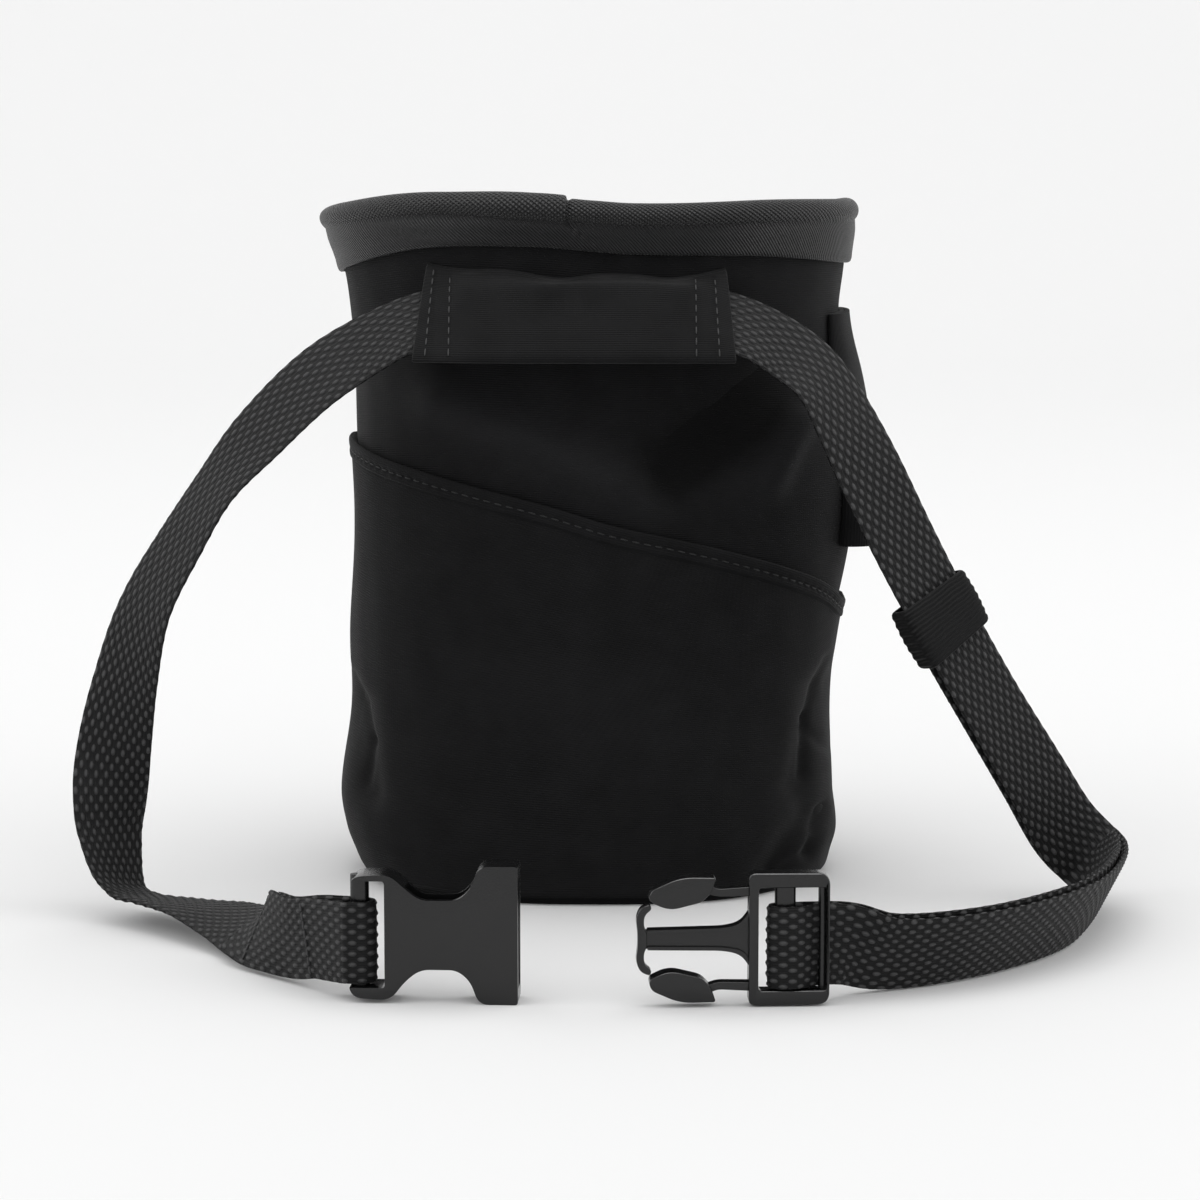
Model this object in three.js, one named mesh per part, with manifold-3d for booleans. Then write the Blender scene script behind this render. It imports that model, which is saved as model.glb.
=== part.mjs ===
// A climbing chalk bag with its waist belt, standing on a flat surface.
// Millimetres, +Z up. The origin is the middle of the base, on that surface.
// The belt sleeve faces -Y. The left and right of the names are -X and +X.
import * as THREE from 'three';
import Module from 'manifold-3d';

// Clearances
const GAP = 0.3;                // between pieces that touch
const WEB_PLAY = 0.5;           // between the webbing and a sleeve that it runs in

// Bag
const BAG_HALF_WIDTH = 64;
const BAG_HALF_DEPTH = 54;
const BAG_HEIGHT = 178;         // near side of the rim above the surface
const WALL = 2;                 // canvas wall with its lining
const PLY = 1.2;                // one layer of canvas, folded and pressed
const BASE_THICKNESS = 2;
const HEM_WIDTH = 5;
const HEM_RIDGE = 0.9;          // how far the folded hem stands proud

// Rim tape over its stiff hoop
const RIM_ROLL = 6.6;           // diameter of the roll
const RIM_SKIRT = 12.5;         // height of the tape on the near side
const RIM_SKIRT_EXTRA = 4;      // more height of the tape at the two ends
const RIM_LINING = 10;          // height of the tape inside
const TAPE = 1.4;

// Belt
const WEB_WIDTH = 19;
const WEB_THICKNESS = 1.8;
const WEB_PITCH = WEB_THICKNESS + GAP;   // from one layer to the next
const BELT_SPREAD = 121;        // how far the belt reaches to the side
const BELT_RISE = 150;          // height of the belt in its sleeve
const BELT_REACH = 151;         // how far the buckles lie in front of the middle
const STUB_LENGTH = 41;         // sewn end beside the female buckle

// Belt sleeve on the bag
const SLEEVE_LEFT = -45;
const SLEEVE_RIGHT = 35;
const SLEEVE_FOOT = 139.2;
const SLEEVE_HEIGHT = 25.6;
const SLEEVE_CORNER = 1.6;
const SLEEVE_PLAY = 1.6;         // in front of the webbing

// Brush loop on the right side
const BRUSH_WIDTH = 24;
const BRUSH_HEIGHT = 60;
const BRUSH_FOOT = 88.5;
const BRUSH_ANGLE = -9;         // degrees from +X towards the near side
const BRUSH_STAND_LOW = 8.8;
const BRUSH_STAND_HIGH = 2.9;

// Keeper on the belt
const KEEPER_LENGTH = 15.6;
const KEEPER_SHARE = 0.334;     // place along the right run, from the sleeve to the buckle
const KEEPER_WALL = 1.1;

// Buckles
const BUCKLE_HEIGHT = 32;
const SLOT_HEIGHT = 24.8;
const FEMALE_LENGTH = 38.6;
const FEMALE_THICKNESS = 9;
const FEMALE_X = -55.4;         // outer face of the webbing bar
const FEMALE_Y = -150.5;
const FEMALE_BAR = 4.3;
const FEMALE_BAR_THICKNESS = 3;
const FEMALE_SLOT = 3.9;
const CHANNEL_THICKNESS = 5.4;
const CHANNEL_HEIGHT = 25;
const FEMALE_HEADING = -3;      // degrees
const MALE_X = 53.6;            // outer face of the outer bar
const MALE_Y = -155.5;
const MALE_HEIGHT = 31.3;
const MALE_THICKNESS = 5;
const MALE_FRAME = 18.4;
const OUTER_BAR = 2.2;
const OUTER_BAR_THICKNESS = 2.4;
const OUTER_BAR_FORWARD = 1;    // in front of the buckle's plane
const MIDDLE_BAR_AT = 7.6;
const MIDDLE_BAR = 4.8;
const MIDDLE_BAR_THICKNESS = 2.6;
const CROSSBAR = 2.2;
const PRONG_REACH = 41;         // from the outer bar to the prong tips
const STEM_REACH = 44;          // from the outer bar to the cross head
const PRONG_THICKNESS = 4.3;
const STEM_THICKNESS = 3.2;
const BAR_SETBACK = 0.15;       // of a rounded bar from the frame's end
const BAR_GRIP = 0.6;           // of a rounded bar into the frame's arms
const MALE_HEADING = 3;
const WEB_AXIS = 13.7;          // height of the webbing's middle line in the buckles

// Outline of the canvas wall. Height is a share of the bag's height, left and
// right are shares of the half width, near and far are shares of the half depth.
const BODY = [
  // height, left,  right, near,  far
  [0.000, 0.900, 0.925, 0.965, 0.900],
  [0.012, 0.945, 0.945, 0.982, 0.950],
  [0.034, 0.975, 0.962, 0.985, 0.980],
  [0.067, 1.008, 0.985, 0.995, 0.990],
  [0.124, 1.028, 0.968, 1.000, 0.995],
  [0.247, 0.984, 0.958, 1.005, 1.000],
  [0.371, 0.984, 0.988, 1.010, 1.005],
  [0.511, 0.962, 1.055, 1.010, 1.010],
  [0.657, 0.972, 1.058, 1.010, 1.005],
  [0.745, 0.978, 1.032, 1.012, 0.995],
  [0.831, 0.994, 1.000, 1.015, 0.980],
  [0.899, 1.020, 1.020, 1.025, 0.985],
  [0.966, 1.082, 1.042, 1.045, 0.990],
  [1.000, 1.086, 1.044, 1.046, 0.990],
];
const SQUARENESS = 2.35;        // exponent of the plan outline, 2 is an ellipse

// Height of the rim round the bag, as a share of the bag's height.
const RIM = [
  // angle, height
  [0, 0.997],
  [45, 0.980],
  [90, 0.966],
  [140, 0.970],
  [180, 0.982],
  [205, 0.996],
  [236, 1.014],
  [262, 1.010],
  [276, 1.000],
  [310, 1.003],
  [345, 0.999],
];

// Folds of the canvas. Each is a line from one place to another, across as a
// share of the half width and height as a share of the bag's height. Spread is
// a share of the half width. Depth is a share of the half depth, plus is out.
const FOLDS = [
  // side, across, height, across, height, spread, depth
  [-1, 0.80, 0.755, 0.26, 0.625, 0.135, -0.062],
  [-1, 0.82, 0.690, 0.62, 0.600, 0.090, 0.036],
  [-1, -0.58, 0.715, 0.18, 0.590, 0.180, 0.040],
  [-1, -0.95, 0.265, -0.90, 0.145, 0.070, -0.045],
  [-1, 0.90, 0.290, 0.82, 0.160, 0.075, -0.042],
  [-1, 0.86, 0.105, 0.72, 0.040, 0.080, -0.050],
  [-1, -0.30, 0.300, 0.35, 0.230, 0.240, 0.022],
  [1, -0.60, 0.700, 0.10, 0.560, 0.200, -0.045],
  [1, 0.10, 0.480, 0.70, 0.360, 0.220, 0.035],
  [1, -0.70, 0.330, -0.10, 0.230, 0.200, 0.030],
  [1, 0.30, 0.760, 0.75, 0.640, 0.140, -0.040],
];

// Slanted upper edge of the pocket: across as a share of the half width,
// height as a share of the bag's height.
const HEM = [
  // across, height
  [-1.10, 0.660],
  [-1.00, 0.652],
  [-0.82, 0.632],
  [-0.68, 0.620],
  [-0.18, 0.577],
  [0.05, 0.552],
  [0.34, 0.527],
  [0.56, 0.505],
  [0.78, 0.476],
  [0.92, 0.446],
  [1.03, 0.399],
  [1.12, 0.385],
];
const POCKET_FROM = 174;        // degrees round the bag, over the near side
const POCKET_TO = 366;
const POCKET_ROWS = 11;         // rows of the wall's facets that the pocket reaches
const ROW_SQUEEZE = 0.8;        // least height of a row of facets under the hem

// Wavy upper edge of the belt sleeve: along as a share of its width,
// height as a share of the sleeve's height.
const SLEEVE_TOP = [
  // along, height
  [0.00, 0.98],
  [0.14, 0.94],
  [0.30, 0.93],
  [0.46, 0.88],
  [0.58, 0.91],
  [0.70, 0.91],
  [0.80, 0.88],
  [1.00, 0.95],
];

// Belt from the middle of its sleeve to each buckle. Across is a share of
// BELT_SPREAD, forward of BELT_REACH and height of BELT_RISE. The last three
// give the way from the belt's middle line to the edge that is up in the sleeve.
const LEFT_RUN = [
  // across, forward, height, edge x, edge y, edge z
  [-0.041, 0.410, 0.999, 0, 0.45, 0.89],
  [-0.215, 0.402, 0.998, 0, 0.5, 0.86],
  [-0.364, 0.367, 0.989, 0, 0.66, 0.75],
  [-0.463, 0.357, 0.953, -0.28, 0.68, 0.68],
  [-0.570, 0.378, 0.897, -0.42, 0.66, 0.62],
  [-0.686, 0.404, 0.807, -0.5, 0.7, 0.5],
  [-0.777, 0.424, 0.720, -0.46, 0.82, 0.32],
  [-0.847, 0.437, 0.630, -0.58, 0.77, 0.25],
  [-0.917, 0.437, 0.527, -0.68, 0.7, 0.2],
  [-0.967, 0.414, 0.393, -0.73, 0.67, 0.12],
  [-1.001, 0.357, 0.247, -0.77, 0.63, 0.08],
  [-1.005, 0.288, 0.140, -0.79, 0.61, 0.08],
  [-0.998, 0.272, 0.088, -0.77, 0.62, -0.05],
  [-0.985, 0.285, 0.0435, -0.86, 0.3, -0.34],
  [-0.960, 0.325, 0.014, -0.85, -0.5, -0.08],
  [-0.909, 0.388, 0.0135, -0.86, -0.5, -0.02],
  [-0.843, 0.463, 0.022, -0.87, -0.45, -0.16],
  [-0.764, 0.572, 0.035, -0.8, -0.42, -0.36],
  [-0.698, 0.695, 0.052, -0.6, -0.35, -0.68],
  [-0.640, 0.812, 0.064, -0.2, -0.2, -0.95],
  [-0.562, 0.898, 0.073, 0, 0, -1],
  [-0.500, 0.953, 0.088, 0, 0, -1],
];
const RIGHT_RUN = [
  // across, forward, height, edge x, edge y, edge z
  [0.124, 0.410, 0.999, 0, 0.45, 0.89],
  [0.289, 0.394, 0.989, 0.05, 0.66, 0.75],
  [0.393, 0.378, 0.947, 0.3, 0.66, 0.68],
  [0.467, 0.391, 0.897, 0.5, 0.68, 0.5],
  [0.517, 0.404, 0.827, 0.68, 0.6, 0.4],
  [0.576, 0.414, 0.730, 0.79, 0.5, 0.37],
  [0.645, 0.414, 0.617, 0.78, 0.52, 0.37],
  [0.734, 0.404, 0.483, 0.74, 0.56, 0.38],
  [0.824, 0.377, 0.357, 0.72, 0.58, 0.4],
  [0.926, 0.338, 0.220, 0.72, 0.48, 0.48],
  [0.998, 0.308, 0.123, 0.68, 0.3, 0.66],
  [1.048, 0.315, 0.078, 0.46, 0.08, 0.88],
  [1.062, 0.384, 0.0680, 0.42, -0.08, 0.89],
  [1.020, 0.550, 0.0672, 0.42, -0.16, 0.89],
  [0.930, 0.719, 0.0672, 0.34, -0.26, 0.89],
  [0.727, 0.894, 0.0672, 0.24, -0.34, 0.90],
  [0.550, 0.965, 0.070, 0.12, -0.30, 0.93],
  [0.475, 0.987, 0.086, 0, -0.1, 1],
];

const WEB_STEP = 4.4;           // length of one facet of the webbing
const AROUND = 60;              // facets round the bag

const CANVAS = new THREE.MeshStandardMaterial({ color: 0x1b1b1c, roughness: 0.85, metalness: 0 });
const TWILL = new THREE.MeshStandardMaterial({ color: 0x232324, roughness: 0.75, metalness: 0 });
const WEBBING = new THREE.MeshStandardMaterial({ color: 0x262627, roughness: 0.8, metalness: 0 });
const PLASTIC = new THREE.MeshStandardMaterial({ color: 0x303031, roughness: 0.45, metalness: 0 });

const wasm = await Module();
wasm.setup();

// Smooth value of a table at a place, with the slope eased between its rows.
function lookUp(rows, place, column) {
  const last = rows.length - 1;
  if (place <= rows[0][0]) return rows[0][column];
  if (place >= rows[last][0]) return rows[last][column];
  let i = 0;
  while (rows[i + 1][0] < place) i += 1;
  const slope = (k) => {
    const a = rows[Math.max(k - 1, 0)];
    const b = rows[Math.min(k + 1, last)];
    return (b[column] - a[column]) / (b[0] - a[0]);
  };
  const span = rows[i + 1][0] - rows[i][0];
  const t = (place - rows[i][0]) / span;
  const [t2, t3] = [t * t, t * t * t];
  return (2 * t3 - 3 * t2 + 1) * rows[i][column] + (t3 - 2 * t2 + t) * span * slope(i)
    + (3 * t2 - 2 * t3) * rows[i + 1][column] + (t3 - t2) * span * slope(i + 1);
}

// Height of the rim at an angle in degrees.
function rimHeight(angle) {
  const turn = ((angle % 360) + 360) % 360;
  const rows = [
    ...RIM.map(([a, h]) => [a - 360, h]),
    ...RIM,
    ...RIM.map(([a, h]) => [a + 360, h]),
  ];
  return BAG_HEIGHT * lookUp(rows, turn, 1);
}

// Distance in a plane from a place to a line between two places.
function lineDistance(x, z, x0, z0, x1, z1) {
  const [dx, dz] = [x1 - x0, z1 - z0];
  const t = Math.min(1, Math.max(0, ((x - x0) * dx + (z - z0) * dz) / (dx * dx + dz * dz)));
  return Math.hypot(x - x0 - t * dx, z - z0 - t * dz);
}

// How far the folds move the wall outwards.
function foldDepth(x, y, z) {
  let depth = 0;
  for (const [side, x0, z0, x1, z1, spread, share] of FOLDS) {
    const reach = spread * BAG_HALF_WIDTH;
    const away = lineDistance(x, z, x0 * BAG_HALF_WIDTH, z0 * BAG_HEIGHT,
      x1 * BAG_HALF_WIDTH, z1 * BAG_HEIGHT);
    const facing = THREE.MathUtils.smoothstep(side * y / BAG_HALF_DEPTH, 0, 0.3);
    depth += share * BAG_HALF_DEPTH * facing * Math.exp(-((away / reach) ** 2));
  }
  return depth;
}

// Point of the plan outline at a height, without its folds.
function outlinePoint(angle, z, outwards) {
  const share = z / BAG_HEIGHT;
  const a = THREE.MathUtils.degToRad(angle);
  const [c, s] = [Math.cos(a), Math.sin(a)];
  const halfX = BAG_HALF_WIDTH * lookUp(BODY, share, c < 0 ? 1 : 2);
  const halfY = BAG_HALF_DEPTH * lookUp(BODY, share, s < 0 ? 3 : 4);
  const power = 2 / SQUARENESS;
  const x = halfX * Math.sign(c) * Math.abs(c) ** power;
  const y = halfY * Math.sign(s) * Math.abs(s) ** power;
  const slope = SQUARENESS - 1;
  const nx = Math.sign(x) * Math.abs(x / halfX) ** slope / halfX;
  const ny = Math.sign(y) * Math.abs(y / halfY) ** slope / halfY;
  const n = Math.hypot(nx, ny);
  return new THREE.Vector3(x + nx / n * outwards, y + ny / n * outwards, z);
}

// Point of the canvas wall: angle round the bag, height, distance outwards.
function wallPoint(angle, z, outwards) {
  const p = outlinePoint(angle, z, 0);
  return outlinePoint(angle, z, outwards + foldDepth(p.x, p.y, z));
}

// Heights of the wall's rows of facets, as shares of its height at each angle.
const WALL_ROWS = [
  0, 0.012, 0.034, 0.067, 0.11, 0.18, 0.26, 0.35, 0.45, 0.55, 0.62, 0.69, 0.76, 0.84, 0.92, 1,
];
const WALL_TOP_DROP = RIM_ROLL + GAP;    // from the top of the rim to the edge of the wall
const stationRows = new Map();

// Rows of outer points of the wall at one of its stations.
function wallRows(station) {
  const index = ((station % AROUND) + AROUND) % AROUND;
  if (!stationRows.has(index)) {
    const angle = index * 360 / AROUND;
    const top = rimHeight(angle) - WALL_TOP_DROP;
    stationRows.set(index, WALL_ROWS.map((share) => wallPoint(angle, share * top, 0)));
  }
  return stationRows.get(index);
}

// Point of the wall's facets at a station, carried on above and below them.
function stationPoint(station, z) {
  const rows = wallRows(station);
  let i = 0;
  while (i < rows.length - 2 && rows[i + 1].z < z) i += 1;
  const t = (z - rows[i].z) / (rows[i + 1].z - rows[i].z);
  return rows[i].clone().lerp(rows[i + 1], t);
}

// Point that lies on the wall's facets, or a distance outside them.
function facetPoint(angle, z, outwards) {
  const turn = angle / 360 * AROUND;
  const station = Math.floor(turn + 1e-9);
  const p = stationPoint(station, z).lerp(stationPoint(station + 1, z), turn - station);
  const away = outlinePoint(angle, z, 1).sub(outlinePoint(angle, z, 0));
  return p.addScaledVector(away, outwards);
}

// Depth of the near wall at a place across, found by halving the angle.
function nearWallY(x, z) {
  let [low, high] = [180, 360];
  for (let i = 0; i < 24; i += 1) {
    const middle = (low + high) / 2;
    if (facetPoint(middle, z, 0).x < x) low = middle;
    else high = middle;
  }
  return facetPoint(low, z, 0).y;
}

// Closed mesh from points and triangles.
function meshGeometry(points, triangles) {
  const geometry = new THREE.BufferGeometry();
  const values = points.flatMap((p) => p.toArray());
  geometry.setAttribute('position', new THREE.Float32BufferAttribute(values, 3));
  geometry.setIndex(triangles);
  const box = new THREE.Box3().setFromPoints(points);
  const middle = box.getCenter(new THREE.Vector3());
  let volume = 0;
  for (let i = 0; i < triangles.length; i += 3) {
    const [a, b, c] = [0, 1, 2].map((k) => points[triangles[i + k]].clone().sub(middle));
    volume += a.dot(b.cross(c));
  }
  if (volume < 0) {
    for (let i = 0; i < triangles.length; i += 3) {
      [triangles[i + 1], triangles[i + 2]] = [triangles[i + 2], triangles[i + 1]];
    }
    geometry.setIndex(triangles);
  }
  geometry.computeVertexNormals();
  return geometry;
}

// Two triangles for each cell of a grid of points.
function gridTriangles(rows, columns, at, wrapRows, wrapColumns) {
  const triangles = [];
  for (let i = 0; i < rows - (wrapRows ? 0 : 1); i += 1) {
    for (let j = 0; j < columns - (wrapColumns ? 0 : 1); j += 1) {
      const [i2, j2] = [(i + 1) % rows, (j + 1) % columns];
      triangles.push(at(i, j), at(i2, j), at(i2, j2), at(i, j), at(i2, j2), at(i, j2));
    }
  }
  return triangles;
}

// Ring of one closed section, given at each station of a closed path.
function closedRing(stations) {
  const columns = stations[0].length;
  const at = (i, j) => i * columns + j;
  return meshGeometry(stations.flat(), gridTriangles(stations.length, columns, at, true, true));
}

// Bar of one closed section along an open path, with flat ends.
function closedBar(stations) {
  const [rows, columns] = [stations.length, stations[0].length];
  const at = (i, j) => i * columns + j;
  const triangles = gridTriangles(rows, columns, at, false, true);
  const points = stations.flat();
  for (const [row, turned] of [[0, false], [rows - 1, true]]) {
    const middle = points.length;
    const centre = new THREE.Vector3();
    for (const p of stations[row]) centre.addScaledVector(p, 1 / columns);
    points.push(centre);
    for (let j = 0; j < columns; j += 1) {
      const [a, b] = [at(row, j), at(row, (j + 1) % columns)];
      triangles.push(middle, turned ? b : a, turned ? a : b);
    }
  }
  return meshGeometry(points, triangles);
}

// Open sleeve: an outer and an inner closed section at each station.
function openSleeve(outer, inner) {
  const [rows, columns] = [outer.length, outer[0].length];
  const at = (i, j) => i * columns + j;
  const under = (i, j) => rows * columns + i * columns + j;
  const triangles = gridTriangles(rows, columns, at, false, true);
  for (const [a, b, c] of trianglesOf(gridTriangles(rows, columns, under, false, true))) {
    triangles.push(a, c, b);
  }
  for (let j = 0; j < columns; j += 1) {
    const k = (j + 1) % columns;
    triangles.push(at(0, j), at(0, k), under(0, k), at(0, j), under(0, k), under(0, j));
    const r = rows - 1;
    triangles.push(at(r, j), under(r, k), at(r, k), at(r, j), under(r, j), under(r, k));
  }
  return meshGeometry([...outer.flat(), ...inner.flat()], triangles);
}

function trianglesOf(list) {
  const out = [];
  for (let i = 0; i < list.length; i += 3) out.push(list.slice(i, i + 3));
  return out;
}

// Sheet with thickness: an outer and an inner grid joined along the border.
function thickSheet(outer, inner) {
  const [rows, columns] = [outer.length, outer[0].length];
  const at = (i, j) => i * columns + j;
  const under = (i, j) => rows * columns + i * columns + j;
  const triangles = gridTriangles(rows, columns, at, false, false);
  for (const [a, b, c] of trianglesOf(gridTriangles(rows, columns, under, false, false))) {
    triangles.push(a, c, b);
  }
  const border = [];
  for (let j = 0; j < columns - 1; j += 1) border.push([0, j]);
  for (let i = 0; i < rows - 1; i += 1) border.push([i, columns - 1]);
  for (let j = columns - 1; j > 0; j -= 1) border.push([rows - 1, j]);
  for (let i = rows - 1; i > 0; i -= 1) border.push([i, 0]);
  border.forEach(([i, j], k) => {
    const [i2, j2] = border[(k + 1) % border.length];
    triangles.push(at(i, j), at(i2, j2), under(i2, j2), at(i, j), under(i2, j2), under(i, j));
  });
  return meshGeometry([...outer.flat(), ...inner.flat()], triangles);
}

function named(name, geometry, material) {
  const mesh = new THREE.Mesh(geometry, material);
  mesh.name = name;
  return mesh;
}

// Angles of the facets round the bag.
function turns(from, to, count) {
  return Array.from({ length: count }, (_, i) => from + (to - from) * i / count);
}

function bagWall() {
  const stations = turns(0, 360, AROUND).map((angle, i) => {
    const outside = wallRows(i);
    const inside = outside.map(({ z }) => facetPoint(angle, z, -WALL));
    return [...outside, ...inside.reverse()];
  });
  return named('bag_wall', closedRing(stations), CANVAS);
}

function basePanel() {
  const ring = (z) => turns(0, 360, AROUND).map((angle) => {
    const p = facetPoint(angle, 0, -WALL - GAP);
    return new THREE.Vector3(p.x, p.y, z);
  });
  return named('base_panel', closedBar([ring(0), ring(BASE_THICKNESS)]), CANVAS);
}

// Height of the pocket's upper edge at an angle round the bag.
function hemHeight(angle) {
  let z = HEM[0][1] * BAG_HEIGHT;
  for (let i = 0; i < 3; i += 1) {
    z = lookUp(HEM, facetPoint(angle, z, 0).x / BAG_HALF_WIDTH, 1) * BAG_HEIGHT;
  }
  return z;
}

function pocketPanel() {
  const step = 360 / AROUND;
  const outer = [];
  const inner = [];
  const [first, last] = [Math.round(POCKET_FROM / step), Math.round(POCKET_TO / step)];
  for (let station = first; station <= last; station += 1) {
    const angle = station * step;
    const top = hemHeight(angle);
    const foot = top - HEM_WIDTH;
    const rows = wallRows(station).filter(({ z }, i) => i > 0 && i < POCKET_ROWS);
    const heights = [
      ...rows.map(({ z }, i) => [Math.min(z, foot - (rows.length - i) * ROW_SQUEEZE), 0]),
      [foot, 0],
      [foot + HEM_WIDTH * 0.25, HEM_RIDGE],
      [top - HEM_WIDTH * 0.15, HEM_RIDGE],
      [top, HEM_RIDGE * 0.3],
    ];
    outer.push(heights.map(([z, ridge]) => facetPoint(angle, z, GAP + PLY + ridge)));
    inner.push(heights.map(([z]) => facetPoint(angle, z, GAP)));
  }
  return named('pocket_panel', thickSheet(outer, inner), CANVAS);
}

// Tape folded over the hoop: a roll with a skirt outside and a lining inside.
function rimBinding() {
  const roll = RIM_ROLL / 2;
  const middle = -WALL / 2;
  const stations = turns(0, 360, AROUND).map((angle) => {
    const top = rimHeight(angle);
    const ends = Math.cos(THREE.MathUtils.degToRad(angle)) ** 2;
    const skirt = RIM_SKIRT + RIM_SKIRT_EXTRA * ends;
    const section = [[GAP, skirt], [GAP + TAPE, skirt], [GAP + TAPE, RIM_ROLL]];
    for (let turn = -15; turn <= 195; turn += 30) {
      const a = THREE.MathUtils.degToRad(turn);
      section.push([middle + roll * Math.cos(a), roll - roll * Math.sin(a)]);
    }
    section.push(
      [-WALL - GAP - TAPE, RIM_ROLL],
      [-WALL - GAP - TAPE, RIM_LINING],
      [-WALL - GAP, RIM_LINING],
      [-WALL - GAP, RIM_ROLL],
      [GAP, RIM_ROLL],
    );
    return section.map(([outwards, drop]) => facetPoint(angle, top - drop, outwards));
  });
  return named('rim_binding', closedRing(stations), TWILL);
}

// Frames along the webbing: middle line, way of travel, way across.
function frameAt(centre, travel, edge) {
  const t = travel.clone().normalize();
  const w = edge.clone().addScaledVector(t, -edge.dot(t)).normalize();
  return { centre, travel: t, across: w, face: new THREE.Vector3().crossVectors(t, w) };
}

function curveFrames(places, edges) {
  const line = new THREE.CatmullRomCurve3(places, false, 'centripetal');
  const hint = new THREE.CatmullRomCurve3(edges, false, 'centripetal');
  const count = places.length * 12;
  const fine = Array.from({ length: count + 1 }, (_, i) => i / count);
  const frames = fine.map((t) => frameAt(line.getPoint(t), line.getTangent(t), hint.getPoint(t)));
  let along = 0;
  frames.forEach((frame, i) => {
    if (i > 0) along += frame.centre.distanceTo(frames[i - 1].centre);
    frame.along = along;
  });
  return frames;
}

// Frames thinned to one in each facet's length.
function thinned(frames) {
  const kept = [frames[0]];
  for (const frame of frames) {
    const gone = frame.centre.distanceTo(kept[kept.length - 1].centre);
    const turned = frame.across.angleTo(kept[kept.length - 1].across)
      + frame.travel.angleTo(kept[kept.length - 1].travel);
    if (gone > WEB_STEP || (gone > WEB_STEP * 0.4 && turned > 0.3)) kept.push(frame);
  }
  kept[kept.length - 1] = frames[frames.length - 1];
  return kept;
}

function beltPlace([across, forward, height]) {
  return new THREE.Vector3(across * BELT_SPREAD, -forward * BELT_REACH, height * BELT_RISE);
}

const UP = new THREE.Vector3(0, 0, 1);

// Place on a buckle's middle line, at a distance along it from its end.
function buckleAxis(x, y, heading, along) {
  const turned = new THREE.Vector3(along, 0, 0).applyAxisAngle(UP, THREE.MathUtils.degToRad(heading));
  return turned.add(new THREE.Vector3(x, y, WEB_AXIS));
}

const FEMALE_BAR_MIDDLE = buckleAxis(FEMALE_X, FEMALE_Y, FEMALE_HEADING, FEMALE_BAR / 2);
const MALE_BAR_MIDDLE = buckleAxis(MALE_X, MALE_Y, 180 + MALE_HEADING, MIDDLE_BAR_AT + MIDDLE_BAR / 2);

// Radii of the webbing's turn round a bar.
function turnRadii(bar, thickness) {
  const extra = GAP + WEB_THICKNESS / 2;
  return [bar / 2 + extra, thickness / 2 + extra];
}

const FEMALE_TURN = turnRadii(FEMALE_BAR, FEMALE_BAR_THICKNESS);
const MALE_TURN = turnRadii(MIDDLE_BAR, MIDDLE_BAR_THICKNESS);

// Main layer of the belt, from the female buckle round the bag to the male one.
function mainFrames() {
  const left = [...LEFT_RUN].reverse();
  const start = FEMALE_BAR_MIDDLE.clone().add(new THREE.Vector3(0, FEMALE_TURN[1], 0));
  const end = MALE_BAR_MIDDLE.clone().add(new THREE.Vector3(0, MALE_TURN[1], 0));
  const lead = new THREE.Vector3(MIDDLE_BAR * 0.9, WEB_THICKNESS * 0.3, 0);
  const places = [start, ...left.map(beltPlace), ...RIGHT_RUN.map(beltPlace), end.clone().add(lead), end];
  const edges = [
    UP.clone().negate(),
    ...[...left, ...RIGHT_RUN].map(([, , , x, y, z]) => new THREE.Vector3(x, y, z)),
    UP.clone(),
    UP.clone(),
  ];
  return curveFrames(places, edges);
}

// Frames round one end of a bar, from one turn to another in degrees.
function barFrames(middle, [rx, ry], from, to, edge) {
  const steps = 6;
  return Array.from({ length: steps + 1 }, (_, i) => {
    const a = THREE.MathUtils.degToRad(from + (to - from) * i / steps);
    const sense = Math.sign(to - from);
    const centre = middle.clone().add(new THREE.Vector3(rx * Math.cos(a), ry * Math.sin(a), 0));
    const travel = new THREE.Vector3(-sense * rx * Math.sin(a), sense * ry * Math.cos(a), 0);
    return frameAt(centre, travel, edge);
  });
}

// Frame where the front layer leaves a bar.
function besideBar(middle, across, forward, sense) {
  const centre = middle.clone().add(new THREE.Vector3(across, -forward, 0));
  return frameAt(centre, new THREE.Vector3(1, 0.25 * sense, 0), UP.clone().multiplyScalar(sense));
}

// The same layer moved along its face and run backwards.
function returnLayer(frames, distance) {
  return [...frames].reverse().map((frame) => {
    const centre = frame.centre.clone().addScaledVector(frame.face, distance);
    return frameAt(centre, frame.travel.clone().negate(), frame.across);
  });
}

const MAIN = mainFrames();
const MAIN_LENGTH = MAIN[MAIN.length - 1].along;

function frameAlong(place) {
  return MAIN.find((frame) => frame.along >= place) ?? MAIN[MAIN.length - 1];
}

// The right run starts where the belt passes its first row, up in the sleeve.
const RIGHT_START = MAIN.find(({ centre }) => (
  centre.x > RIGHT_RUN[0][0] * BELT_SPREAD && centre.z > BELT_RISE * 0.9)).along;
const KEEPER_PLACE = RIGHT_START + KEEPER_SHARE * (MAIN_LENGTH - RIGHT_START);

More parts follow.
